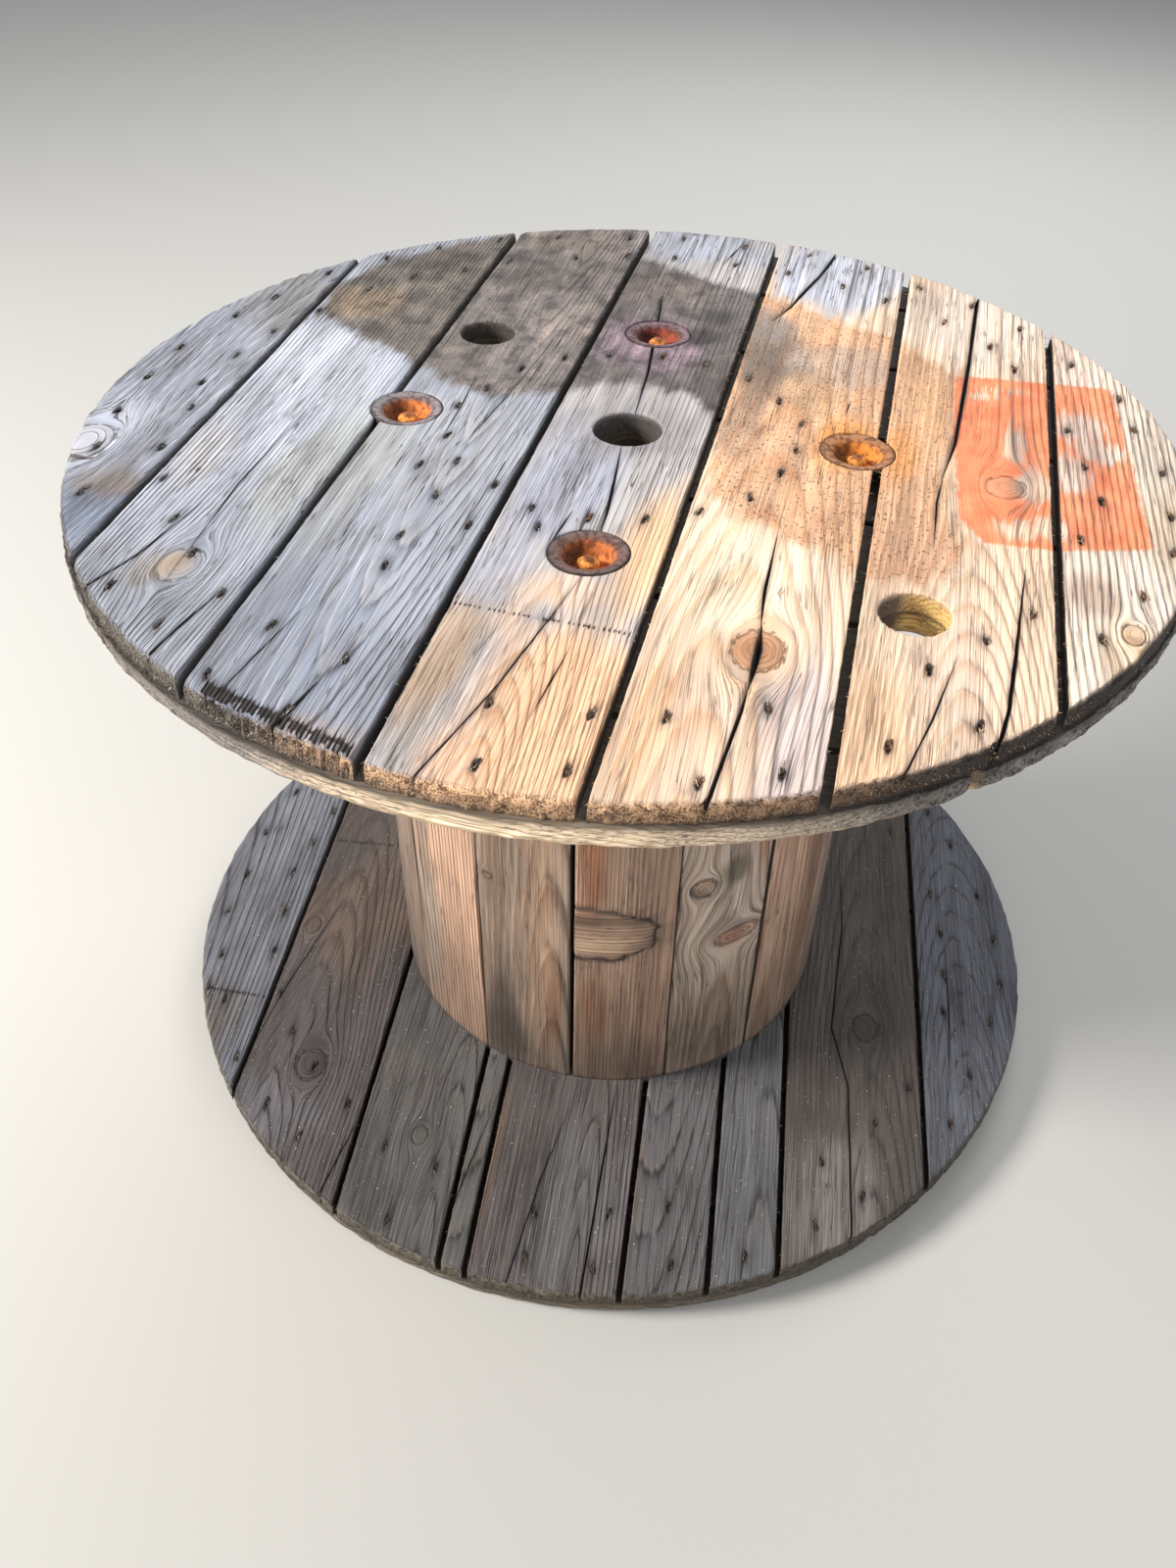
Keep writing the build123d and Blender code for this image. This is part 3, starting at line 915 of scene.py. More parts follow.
def sawn_spruce(name, late=(0.80, 0.66, 0.53), late_share=0.85, paint=None, dust=0.0):
    """Sawn spruce left outdoors: rain wears the soft early wood away between ridges of late
    wood, the face silvers, and dirt settles beside the ridges and in the drying checks. The eye
    sees dull stripes, broken dark lines and torn, speckled end grain."""
    material, tree, shader = new_material(name)
    add = partial(node, tree)
    labels = ("ring", "stain", "hurt", "end", "grime", "paint", "worn", "knot", "silver", "rough")
    field = {label: add("Attribute", attribute_name=label, out=2) for label in labels}
    tones = {label: add("Attribute", attribute_name=label) for label in ("clean", "stained")}
    grain = add("Attribute", attribute_name="grain", out=1)

    def drawn_out(across, along, detail=2.0):
        """Noise drawn out along the grain, with features of the given size in millimetres."""
        size = (1 / across, 1 / along, 1 / across)
        stretched = add("VectorMath", {0: grain, 1: size}, **TIMES)
        return add("TexNoise", {"Vector": stretched, "Scale": 1.0, "Detail": detail})

    def scaled(value, by, weak, strong, full=1.0):
        """A value times a strength that goes from weak to strong with one of the fields."""
        strength = add("MapRange", {0: field[by], 2: full, 3: weak, 4: strong})
        return add("Math", {0: value, 1: strength}, **TIMES)

    streaks, patches, dirt = drawn_out(6, 220), drawn_out(30, 240, 3), drawn_out(13, 48, 4)
    fibres, torn, broken = drawn_out(1.2, 150, 2.5), drawn_out(1.6, 2.0, 3), drawn_out(9, 120, 2)
    blotches = drawn_out(21, 30, 4)

    # One year's ring: soft early wood, then a ridge of late wood with dirt lodged beside it
    swayed = add("Math", {0: streaks, 1: 0.4, 2: field["ring"]}, **TIMES_PLUS)
    swayed = add("Math", {0: swayed, 1: 0.2}, operation="SUBTRACT")
    phase = add("Math", {0: swayed}, operation="FRACT")
    year = plain_stops((0.0, 0.1), (0.1, 0.0), (0.55, 0.3), (0.86, 1.0), (1.0, 0.1))
    ridge = add("ValToRGB", {0: phase}, stops=year)
    valley = add("Math", {0: 1.0, 1: ridge}, operation="SUBTRACT")
    beside = plain_stops((0.0, 1.0), (0.10, 0.3), (0.24, 0.0), (0.90, 0.0), (0.98, 1.0))
    furrow = add("ValToRGB", {0: phase}, stops=beside)

    # Clean or stained wood, duller in patches and smudged grey where it has silvered
    soaked = add("Math", {0: dirt, 1: 46.0, 2: field["stain"]}, **TIMES_PLUS)
    soaked = add("MapRange", {0: soaked, 1: 13.0, 2: 35.0}, **SMOOTH)
    base = add("Mix", {0: soaked, 6: tones["clean"], 7: tones["stained"]}, **BLEND)
    dull = add("MapRange", {0: patches, 1: 0.40, 2: 0.66}, **SMOOTH)
    base = add("Mix", {0: dull, 6: base, 7: (0.76, 0.75, 0.74, 1)}, **TINT)
    smudged = add("MapRange", {0: dirt, 1: 0.5, 2: 0.74}, **SMOOTH)
    smudged = scaled(smudged, "silver", 0.15, 0.55)
    base = add("Mix", {0: smudged, 6: base, 7: (0.59, 0.575, 0.565, 1)}, **TINT)

    # The stained wood is blotched, rubbed pale in places and black with grime in others
    mottled = scaled(soaked, "silver", 0.25, 1.0)
    pale = add("MapRange", {0: blotches, 1: 0.52, 2: 0.64, 4: 0.9}, **SMOOTH)
    pale = add("Math", {0: pale, 1: mottled}, **TIMES)
    base = add("Mix", {0: pale, 6: base, 7: (1.5, 1.45, 1.4, 1)}, **TINT)
    black = add("MapRange", {0: blotches, 1: 0.48, 2: 0.36, 4: 0.9}, **SMOOTH)
    black = add("Math", {0: black, 1: mottled}, **TIMES)
    base = add("Mix", {0: black, 6: base, 7: (0.46, 0.44, 0.43, 1)}, **TINT)

    # Late wood is darker, most where it is fresh; the early wood in the hollows between is painted
    # in a cold shade with a painted sky reflection, most on silvered wood, and thin dark fibres run
    # along both
    hard = scaled(ridge, "silver", late_share, 0.25)
    colour = add("Mix", {0: hard, 6: base, 7: (*late, 1)}, **TINT)
    shaded_hollow = scaled(valley, "silver", 0.0, 0.75)
    colour = add("Mix", {0: shaded_hollow, 6: colour, 7: (0.68, 0.71, 0.77, 1)}, **TINT)
    thin = add("MapRange", {0: fibres, 1: 0.46, 2: 0.66}, **SMOOTH)
    thin = scaled(thin, "rough", 0.5, 1.0, full=1.5)
    colour = add("Mix", {0: thin, 6: colour, 7: (0.48, 0.465, 0.455, 1)}, **TINT)

    # Dirt in the furrow beside each ridge, broken along its length, most on silvered wood
    lined = add("MapRange", {0: broken, 1: 0.38, 2: 0.60, 3: 0.1}, **SMOOTH)
    lined = add("Math", {0: lined, 1: furrow}, **TIMES)
    lined = scaled(lined, "silver", 0.40, 1.0)
    lined = scaled(lined, "rough", 0.55, 1.0)
    colour = add("Mix", {0: lined, 6: colour, 7: (0.20, 0.18, 0.18, 1)}, **TINT)

    # Knots are darker, resinous wood
    heart = add("MapRange", {0: field["knot"], 1: 1.1, 2: 0.9, 4: 0.6}, **SMOOTH)
    heart = scaled(heart, "silver", 1.0, 0.35)
    colour = add("Mix", {0: heart, 6: colour, 7: (0.74, 0.56, 0.42, 1)}, **TINT)

    # Drying checks: dark hairlines that follow the grain, in some streaks only
    middle = add("Math", {0: drawn_out(2.6, 130, 1.0), 1: 0.5}, operation="SUBTRACT")
    middle = add("Math", {0: middle}, operation="ABSOLUTE")
    check = add("MapRange", {0: middle, 1: 0.022, 2: 0.007}, **SMOOTH)
    some = add("MapRange", {0: drawn_out(18, 140), 1: 0.40, 2: 0.56}, **SMOOTH)
    check = add("Math", {0: check, 1: some}, **TIMES)
    dark = scaled(check, "silver", 0.5, 0.9)
    colour = add("Mix", {0: dark, 6: colour, 7: linear("#3A3230")}, **BLEND)

    # Grit trodden into the stained wood
    specks = add("MapRange", {0: drawn_out(3.0, 4.2, 2), 1: 0.58, 2: 0.68}, **SMOOTH)
    specks = add("Math", {0: specks, 1: soaked}, **TIMES)
    trodden = add("Math", {0: specks, 1: 0.7}, **TIMES)
    colour = add("Mix", {0: trodden, 6: colour, 7: linear("#3E3530")}, **BLEND)

    # Pale grit from the yard, blown on to the flange that stands on the ground
    grains = add("MapRange", {0: drawn_out(2.4, 2.6, 1), 1: 0.72, 2: 0.78, 4: dust}, **SMOOTH)
    colour = add("Mix", {0: grains, 6: colour, 7: linear("#BDB8AE")}, **BLEND)

    height = add("Math", {0: ridge, 1: 0.45}, **TIMES)
    for part, lift in ((fibres, -0.45), (lined, -0.5), (check, -0.9), (specks, 0.5)):
        height = add("Math", {0: part, 1: lift, 2: height}, **TIMES_PLUS)

    if paint:
        # Sprayed paint, thin enough to show the ridges, rubbed off in streaks where trodden
        edge = add("Math", {0: drawn_out(5, 11, 4), 1: 10.0, 2: field["paint"]}, **TIMES_PLUS)
        cover = add("MapRange", {0: edge, 1: 2.0, 2: 8.0}, **SMOOTH)
        over_knot = add("Math", {0: heart, 1: -0.6, 2: 1.0}, **TIMES_PLUS)
        cover = add("Math", {0: cover, 1: over_knot}, **TIMES)
        rubbed = add("Math", {0: drawn_out(4, 34, 5), 1: 1.9, 2: field["worn"]}, **TIMES_PLUS)
        rubbed = add("Math", {0: ridge, 1: 0.22, 2: rubbed}, **TIMES_PLUS)
        left = add("MapRange", {0: rubbed, 1: 2.0, 2: 1.25, 4: 0.97}, **SMOOTH)
        cover = add("Math", {0: cover, 1: left}, **TIMES)
        sprayed = ((0.3, linear(paint[0])), (0.7, linear(paint[1])))
        coat = add("ValToRGB", {0: blotches}, stops=sprayed)
        coat = add("Mix", {0: 0.7, 6: coat, 7: colour}, **TINT)
        colour = add("Mix", {0: cover, 6: colour, 7: coat}, **BLEND)
        height = add("Math", {0: cover, 1: 0.12, 2: height}, **TIMES_PLUS)

    # End grain torn by the saw: light tips of fibre over pits that are painted dark, as in shade
    tufts = add("Math", {0: drawn_out(7, 7, 3), 1: 0.6, 2: torn}, **TIMES_PLUS)
    tips = add("MapRange", {0: tufts, 1: 0.62, 2: 0.94}, **SMOOTH)
    shaded_pits = add("Mix", {0: 1.0, 6: base, 7: (0.17, 0.13, 0.11, 1)}, **TINT)
    torn_tone = add("Mix", {0: tips, 6: shaded_pits, 7: base}, **BLEND)
    colour = add("Mix", {0: field["end"], 6: colour, 7: torn_tone}, **BLEND)
    tear = add("Math", {0: tufts, 1: field["end"]}, **TIMES)
    height = add("Math", {0: tear, 1: 3.0, 2: height}, **TIMES_PLUS)

    # Iron from the nails blackens the wood round them; cracks and dents are painted darkest
    halo = add("MapRange", {0: field["hurt"], 1: 7.0, 2: 0.0}, **SMOOTH)
    halo = add("Math", {0: halo, 1: dirt}, **TIMES)
    colour = add("Mix", {0: halo, 6: colour, 7: (0.34, 0.33, 0.35, 1)}, **TINT)
    wound = add("MapRange", {0: field["hurt"], 1: 1.3, 2: 0.1, 4: 0.93}, **SMOOTH)
    colour = add("Mix", {0: wound, 6: colour, 7: linear("#241B16")}, **BLEND)
    # Dirt and painted shade in the gaps, low on the rims, in the holes and behind the staves
    dirt_and_shade = add("Math", {0: field["grime"], 1: 0.9}, **TIMES)
    colour = add("Mix", {0: dirt_and_shade, 6: colour, 7: linear("#2B2521")}, **BLEND)

    bump = add("Bump", {"Strength": 1.0, "Distance": MM, "Height": height})
    roughness = add("MapRange", {0: fibres, 3: 0.74, 4: 0.94})
    tree.links.new(colour, shader.inputs["Base Color"])
    tree.links.new(bump, shader.inputs["Normal"])
    tree.links.new(roughness, shader.inputs["Roughness"])
    shader.inputs["IOR"].default_value = 1.5
    return material


def rusted_steel(name, scale):
    """Pressed or forged steel rusted for years: matt brown scale that flakes off bright orange.
    The pieces' own tone gives the colour of their rust, and paints shade on the left wall of each
    cup's bowl."""
    material, tree, shader = new_material(name)
    add = partial(node, tree)
    place = add("TexCoord", out=3)
    own_tone = add("Attribute", attribute_name="clean")
    noise = {"Vector": place, "Scale": 1 / (scale * MM), "Detail": 4.0}
    coarse = add("TexNoise", noise)
    fine = add("TexNoise", {**noise, "Scale": 5 / (scale * MM), "Roughness": 0.7})
    dark = add("Mix", {0: 1.0, 6: own_tone, 7: (0.42, 0.34, 0.30, 1)}, **TINT)
    light = add("Mix", {0: 1.0, 6: own_tone, 7: (1.35, 1.25, 1.1, 1)}, **TINT)
    scaly = add("MapRange", {0: coarse, 1: 0.40, 2: 0.56}, **SMOOTH)
    colour = add("Mix", {0: scaly, 6: dark, 7: own_tone}, **BLEND)
    flaked = add("MapRange", {0: fine, 1: 0.5, 2: 0.72, 4: 0.7}, **SMOOTH)
    colour = add("Mix", {0: flaked, 6: colour, 7: light}, **BLEND)
    height = add("Math", {0: coarse, 1: 0.8, 2: fine}, **TIMES_PLUS)
    bump = add("Bump", {"Strength": 1.0, "Distance": 0.9 * MM, "Height": height})
    roughness = add("MapRange", {0: fine, 3: 0.72, 4: 0.96})
    tree.links.new(colour, shader.inputs["Base Color"])
    tree.links.new(bump, shader.inputs["Normal"])
    tree.links.new(roughness, shader.inputs["Roughness"])
    return material


def torn_fibre(name):
    """Splinters and fuzz of torn spruce: bare fibre, matt, each with its own tone."""
    material, tree, shader = new_material(name)
    add = partial(node, tree)
    place = add("TexCoord", out=3)
    own_tone = add("Attribute", attribute_name="clean")
    fine = add("TexNoise", {"Vector": place, "Scale": 1 / (1.5 * MM), "Detail": 3.0})
    share = add("MapRange", {0: fine, 1: 0.35, 2: 0.7})
    colour = add("Mix", {0: share, 6: own_tone, 7: (0.6, 0.55, 0.5, 1)}, **TINT)
    bump = add("Bump", {"Strength": 0.6, "Distance": 0.2 * MM, "Height": fine})
    tree.links.new(colour, shader.inputs["Base Color"])
    tree.links.new(bump, shader.inputs["Normal"])
    shader.inputs["Roughness"].default_value = 0.9
    return material


SPRUCE_TOP = sawn_spruce("silvered_sawn_spruce", paint=("#FFAC80", "#F88858"))
SPRUCE_CROSS = sawn_spruce("sheltered_sawn_spruce")
SPRUCE_BASE = sawn_spruce("grey_sawn_spruce", late=(0.54, 0.48, 0.44), dust=0.85)
SPRUCE_STAVE = sawn_spruce("planed_spruce", late=(0.46, 0.34, 0.27), late_share=1.0)
RUSTED_STEEL = rusted_steel("rusted_pressed_steel", 5.0)
RUSTED_WIRE = rusted_steel("rusted_nail_wire", 3.0)
TORN_FIBRE = torn_fibre("torn_spruce_fibre")


def nail_places(rings, turn, seed):
    """Nails driven by hand on scribed rings, so none is quite in line."""
    rng = random.Random(seed)
    places = []
    for radius, count, first in rings:
        for i in range(count):
            angle = math.radians(first + 360 * i / count + turn + rng.uniform(-1.3, 1.3))
            r = radius + rng.uniform(-6, 6)
            places.append((r * math.cos(angle), r * math.sin(angle)))
    return places


bolt_boxes = [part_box(f"tie_bolt_{i}") for i in range(1, 5)]
bolt_places = [tuple(((low + high) / 2 / MM)[:2]) for low, high in bolt_boxes]
spindle_hole, start_hole = mount_hole("spindle_bore"), mount_hole("cable_start_hole")
drive_hole, base_drive_hole = mount_hole("top_drive_hole"), mount_hole("base_drive_hole")
top_bores = (spindle_hole, start_hole, drive_hole)
base_bores = (spindle_hole, base_drive_hole)


def with_bolt_holes(bores, radius):
    """Round holes of a layer: its bores, and one for each tie bolt."""
    return (*bores, *((x, y, radius) for x, y in bolt_places))


top_nails = nail_places(NAIL_RINGS, 0, 3) + list(LONE_NAILS)
base_nails = nail_places(NAIL_RINGS[:2], 4.0, 8)

# Layers of boards. A layer says what it has beyond a plain one, which has no marks of its own,
# and whose worn face looks down. Spacing is that of the points, across and along the grain.
PLAIN = dict(
    knots=(), cracks=(), joints=(), nails=(), faces_up=False, spacing=(3.6, 22), stained=None,
    marked=False,
)
LAYERS = (
    dict(
        PLAIN, kind="top_board", count=7, turn=TOP_TURN,
        holes=with_bolt_holes(top_bores, CUP_RECESS), knots=TOP_KNOTS, cracks=TOP_CRACKS,
        joints=TOP_JOINTS, nails=top_nails, faces_up=True, spacing=(1.35, 15), tones=TOP_TONES,
        stained=STAINED_TONES, marked=True, rim=TOP_RIM, material=SPRUCE_TOP, slot="top_boards",
    ),
    dict(
        PLAIN, kind="top_cross_board", count=7, turn=TOP_TURN + CROSSING,
        holes=with_bolt_holes(top_bores, BOLT_HOLE), tones=CROSS_TONES, rim=CROSS_RIM,
        material=SPRUCE_CROSS, slot="cross_boards",
    ),
    dict(
        PLAIN, kind="base_board", count=9, turn=BASE_TURN,
        holes=with_bolt_holes(base_bores, BOLT_HOLE), knots=BASE_KNOTS, cracks=BASE_CRACKS,
        joints=BASE_JOINTS, nails=base_nails, faces_up=True, spacing=(1.9, 17),
        tones=BASE_TONES, rim=BASE_RIM, material=SPRUCE_BASE, slot="base_boards",
    ),
    dict(
        PLAIN, kind="base_cross_board", count=7, turn=BASE_TURN + CROSSING,
        holes=with_bolt_holes(base_bores, HEAD_RECESS), tones=FLOOR_TONES, rim=BASE_RIM,
        material=SPRUCE_BASE, slot="floor_boards",
    ),
)
boards = {}
for layer in LAYERS:
    for number in range(1, layer["count"] + 1):
        name = f"{layer['kind']}_{number}"
        board = boards[name] = Board(name, number, layer)
        points, faces, before, hurt = board.mesh(layer["spacing"])
        fields = board.fields(points, before, hurt, layer)
        points, faces = board.put_back(points, faces, layer["faces_up"])
        add_piece(f"worn_{name}", points, faces, fields, layer["material"], layer["slot"], (name,))


def lathe(profile, x, y, count, wobble, seed):
    """Closed skin turned about an upright line. The profile runs from the axis out, down and
    back to the axis, or goes round a ring; wobble is how uneven rust has left it."""
    profile = np.array(profile, float)
    angles = np.linspace(0, TAU, count, endpoint=False)
    radius, level = (np.repeat(values[:, None], count, 1) for values in profile.T)
    around = radius * angles
    swell = wander(around / 3.1 + 40, level / 2.3, seed)
    swell = swell + 0.6 * wander(around / 1.3, level / 1.1, seed + 1)
    radius = radius + wobble * swell * np.minimum(radius / 4, 1)
    level = level + 0.7 * wobble * wander(around / 2.2, radius / 2.0, seed + 2)
    points = np.stack([x + radius * np.cos(angles), y + radius * np.sin(angles), level], -1)
    upper = np.arange(radius.size).reshape(radius.shape)
    lower = np.roll(upper, -1, 0)
    quads = np.stack([upper, lower, np.roll(lower, -1, 1), np.roll(upper, -1, 1)], -1)
    if profile[0, 0] > 1:
        faces = quads.reshape(-1, 4).tolist()
    else:
        faces = quads[:-1].reshape(-1, 4).tolist() + [upper[0].tolist(), upper[-1][::-1].tolist()]
    return points.reshape(-1, 3), faces


def joined(parts):
    """One list of points and faces out of many."""
    points, faces, count = [], [], 0
    for part_points, part_faces in parts:
        points.append(part_points)
        faces += [tuple(count + i for i in face) for face in part_faces]
        count += len(part_points)
    return np.concatenate(points), faces


def banded(distance, starts, codes):
    """Tone at each distance: each band's own, with a short blend between bands."""
    colour = np.tile(tone(codes[0]), (len(distance), 1))
    for start_at, code in zip(starts, codes[1:]):
        colour = mixed(colour, tone(code), step(start_at - 0.9, start_at + 0.9, distance))
    return colour


# Section of a cup washer, from its rim's outer edge in and down the bowl, then back underneath:
# distance from the bolt, height over the top face
CUP_SECTION = (
    (33.2, -2.6), (33.3, -1.3), (32.6, -0.6), (31.0, -0.45), (28.5, -0.9), (26.0, -1.5),
    (23.8, -2.1), (22.2, -3.1), (21.2, -5.0), (20.3, -8.0), (18.6, -12.0), (16.4, -15.0),
    (13.5, -16.8), (10.0, -17.3), (6.0, -17.4), (6.0, -19.7), (12.0, -19.7), (17.6, -18.0),
    (20.8, -13.5), (22.8, -8.2), (24.0, -5.2), (27.0, -4.0), (31.0, -3.5),
)
# Where a new tone starts, from the bolt out: bowl, its wall, its lip, the scaly rim and its dark
# edge, a painted shadow where it sinks into the wood; then each cup's tones, the first of them on
# the boss under the nut
CUP_BANDS = (13, 18, 22, 26, 31.5)
CUP_TONES = (
    ("#C4702C", "#F29A3C", "#D98434", "#A86E3E", "#A8764C", "#6E4A38"),
    ("#8E4A2C", "#A8502E", "#8A4028", "#5E4040", "#78606A", "#463436"),
    ("#D2762B", "#E6903F", "#C87436", "#6E5F60", "#857C80", "#3E3634"),
    ("#C8662A", "#DE8440", "#B5652F", "#6E4A3C", "#6C5450", "#382A26"),
)
NUT_SECTION = (
    (0.2, -5.8), (2.6, -6.0), (4.6, -6.9), (5.3, -8.4), (7.0, -9.4), (8.6, -10.0), (9.3, -11.4),
    (9.4, -14.5), (9.2, -17.2), (0.2, -17.2),
)
# Tones of a nut's side, of its top, and of the bolts
NUT_SIDE, NUT_TOP, BOLT_RUST = "#E0933F", "#8A4B26", "#8F5430"
TOP_FACE = max(board.top for board in boards.values())
# How each cup leans, as a slope along X and along Y
LEANS = ((0.03, 0.01), (0.0, 0.035), (0.02, -0.015), (-0.01, 0.012))


def tilted(points, x, y, lean_x, lean_y):
    """Sunk unevenly into the wood: lowered across its width by a millimetre or so."""
    drop = lean_x * (points[:, 0] - x) + lean_y * (points[:, 1] - y)
    drop = np.hypot(lean_x, lean_y) * CUP_RECESS + drop
    return points - np.outer(drop, (0, 0, 1))


washers, washer_tones, nuts, nut_tones = [], [], [], []
for i, (x, y) in enumerate(bolt_places):
    points, faces = lathe(CUP_SECTION, x, y, 96, 0.32, 11 + i)
    out = np.hypot(points[:, 0] - x, points[:, 1] - y)
    # Painted shade on the left wall of each cup's bowl
    shaded_left_wall = step(2, 15, x - points[:, 0]) * step(22.5, 20.5, out) * step(9, 13, out)
    washer_tones.append(banded(out, CUP_BANDS, CUP_TONES[i]) * (1 - 0.72 * shaded_left_wall[:, None]))
    washers.append((tilted(points, x, y, *LEANS[i]) + (0, 0, TOP_FACE), faces))
    points, faces = lathe(NUT_SECTION, x, y, 48, 0.45, 31 + i)
    nut_tones.append(mixed(tone(NUT_SIDE), tone(NUT_TOP), step(-9, -6, points[:, 2])))
    nuts.append((points + (0, 0, TOP_FACE), faces))
add_piece(
    "rusted_cup_washers", *joined(washers), {"clean": np.concatenate(washer_tones)},
    RUSTED_STEEL, "rusty_steel", ("top_cup_washers",),
)
add_piece(
    "rusted_nuts", *joined(nuts), {"clean": np.concatenate(nut_tones)},
    RUSTED_STEEL, "rusty_steel", ("top_nuts",),
)
for i, (low, high) in enumerate(bolt_boxes):
    foot, end = low.z / MM, high.z / MM
    section = (
        (0.2, end - 0.2), (3.4, end - 0.5), (4.8, end - 2.0), (4.9, end - 20), (4.9, foot + 14),
        (5.6, foot + 7), (20.0, foot + 6), (21.6, foot + 4.6), (21.6, foot + 1.4),
        (20.2, foot + 0.4), (0.2, foot + 0.2),
    )
    points, faces = lathe(section, *bolt_places[i], 48, 0.15, 51 + i)
    rust = np.tile(tone(BOLT_RUST), (len(points), 1))
    add_piece(
        f"rusted_tie_bolt_{i + 1}", points, faces, {"clean": rust},
        RUSTED_STEEL, "rusty_steel", (f"tie_bolt_{i + 1}",),
    )

# Staves, counted round from the open joint at the front. Those in front have tones of their own,
# and the others take turns.
STAVE_TONES = (
    "#A88C76", "#A08F80", "#947868", "#948679", "#A28C7C", "#8E7C6E", "#9E8976", "#967F6E",
)
STAVE_FRONT = {1: "#B0937E", 2: "#B5A698", 3: "#BC9D87", 15: "#968475", 14: "#C2A088"}
# Knots and scars: stave number, place across it from its middle, height, half width, half
# height, how far it stands proud
STAVE_KNOTS = (
    (2, -26, 338, 14, 12, 0.5),
    (2, 20, 252, 27, 12, 0.9),
    (15, -38, 330, 6, 5, 0.3),
    (6, 10, 420, 12, 10, 0.5),
    (9, -16, 180, 13, 11, 0.6),
    (11, 14, 520, 10, 9, 0.5),
)
# A branch cut lengthwise, pale between dark lines of bark and painted shadow: the same values
STAVE_BRANCHES = ((1, -46, 280, 80, 38, 2.6),)
# How a stave was cut, where it shows: heart's place across, depth, slope, ring width, ridges
STAVE_CUTS = {
    1: (60, 46, 0.01, 3.4, 0.4), 2: (6, 30, 0.05, 5.0, 0.5), 15: (30, 22, 0.06, 6.2, 1.2),
    14: (-60, 50, 0.02, 4.0, 0.4),
}
# Blotches on the staves: stave number, place across, height, half width, half height, tone
STAVE_BLOTCHES = (
    (15, -26, 120, 18, 70, "#41342C"), (15, -20, 80, 30, 44, "#4E4238"),
    (14, -34, 200, 26, 200, "#8A8276"), (15, 22, 300, 20, 300, "#A98A70"),
    (15, -30, 420, 16, 200, "#8E7866"), (15, 34, 160, 10, 60, "#8A5E44"),
    (1, 20, 420, 40, 200, "#A58C7A"), (1, -34, 420, 16, 120, "#96603C"),
    (1, 10, 80, 50, 40, "#927C6A"), (1, -20, 268, 44, 14, "#DDC0A0"),
    (1, -30, 304, 44, 8, "#6E5444"), (1, -30, 170, 18, 60, "#966A4C"),
    (2, 6, 352, 15, 20, "#5E5A4C"), (2, 20, 252, 25, 11, "#8A6452"),
    (2, 40, 450, 10, 120, "#B06A3A"), (2, -20, 480, 26, 50, "#77705E"),
    (2, 0, 120, 50, 90, "#8A7460"), (3, -30, 520, 20, 120, "#9C6238"),
    (3, 30, 300, 24, 300, "#7A5B44"), (15, -10, 600, 20, 60, "#8F6A4C"),
)


def own_marks(marks, number):
    """Those of the staves' marks that one stave has."""
    return [mark[1:] for mark in marks if mark[0] == number]


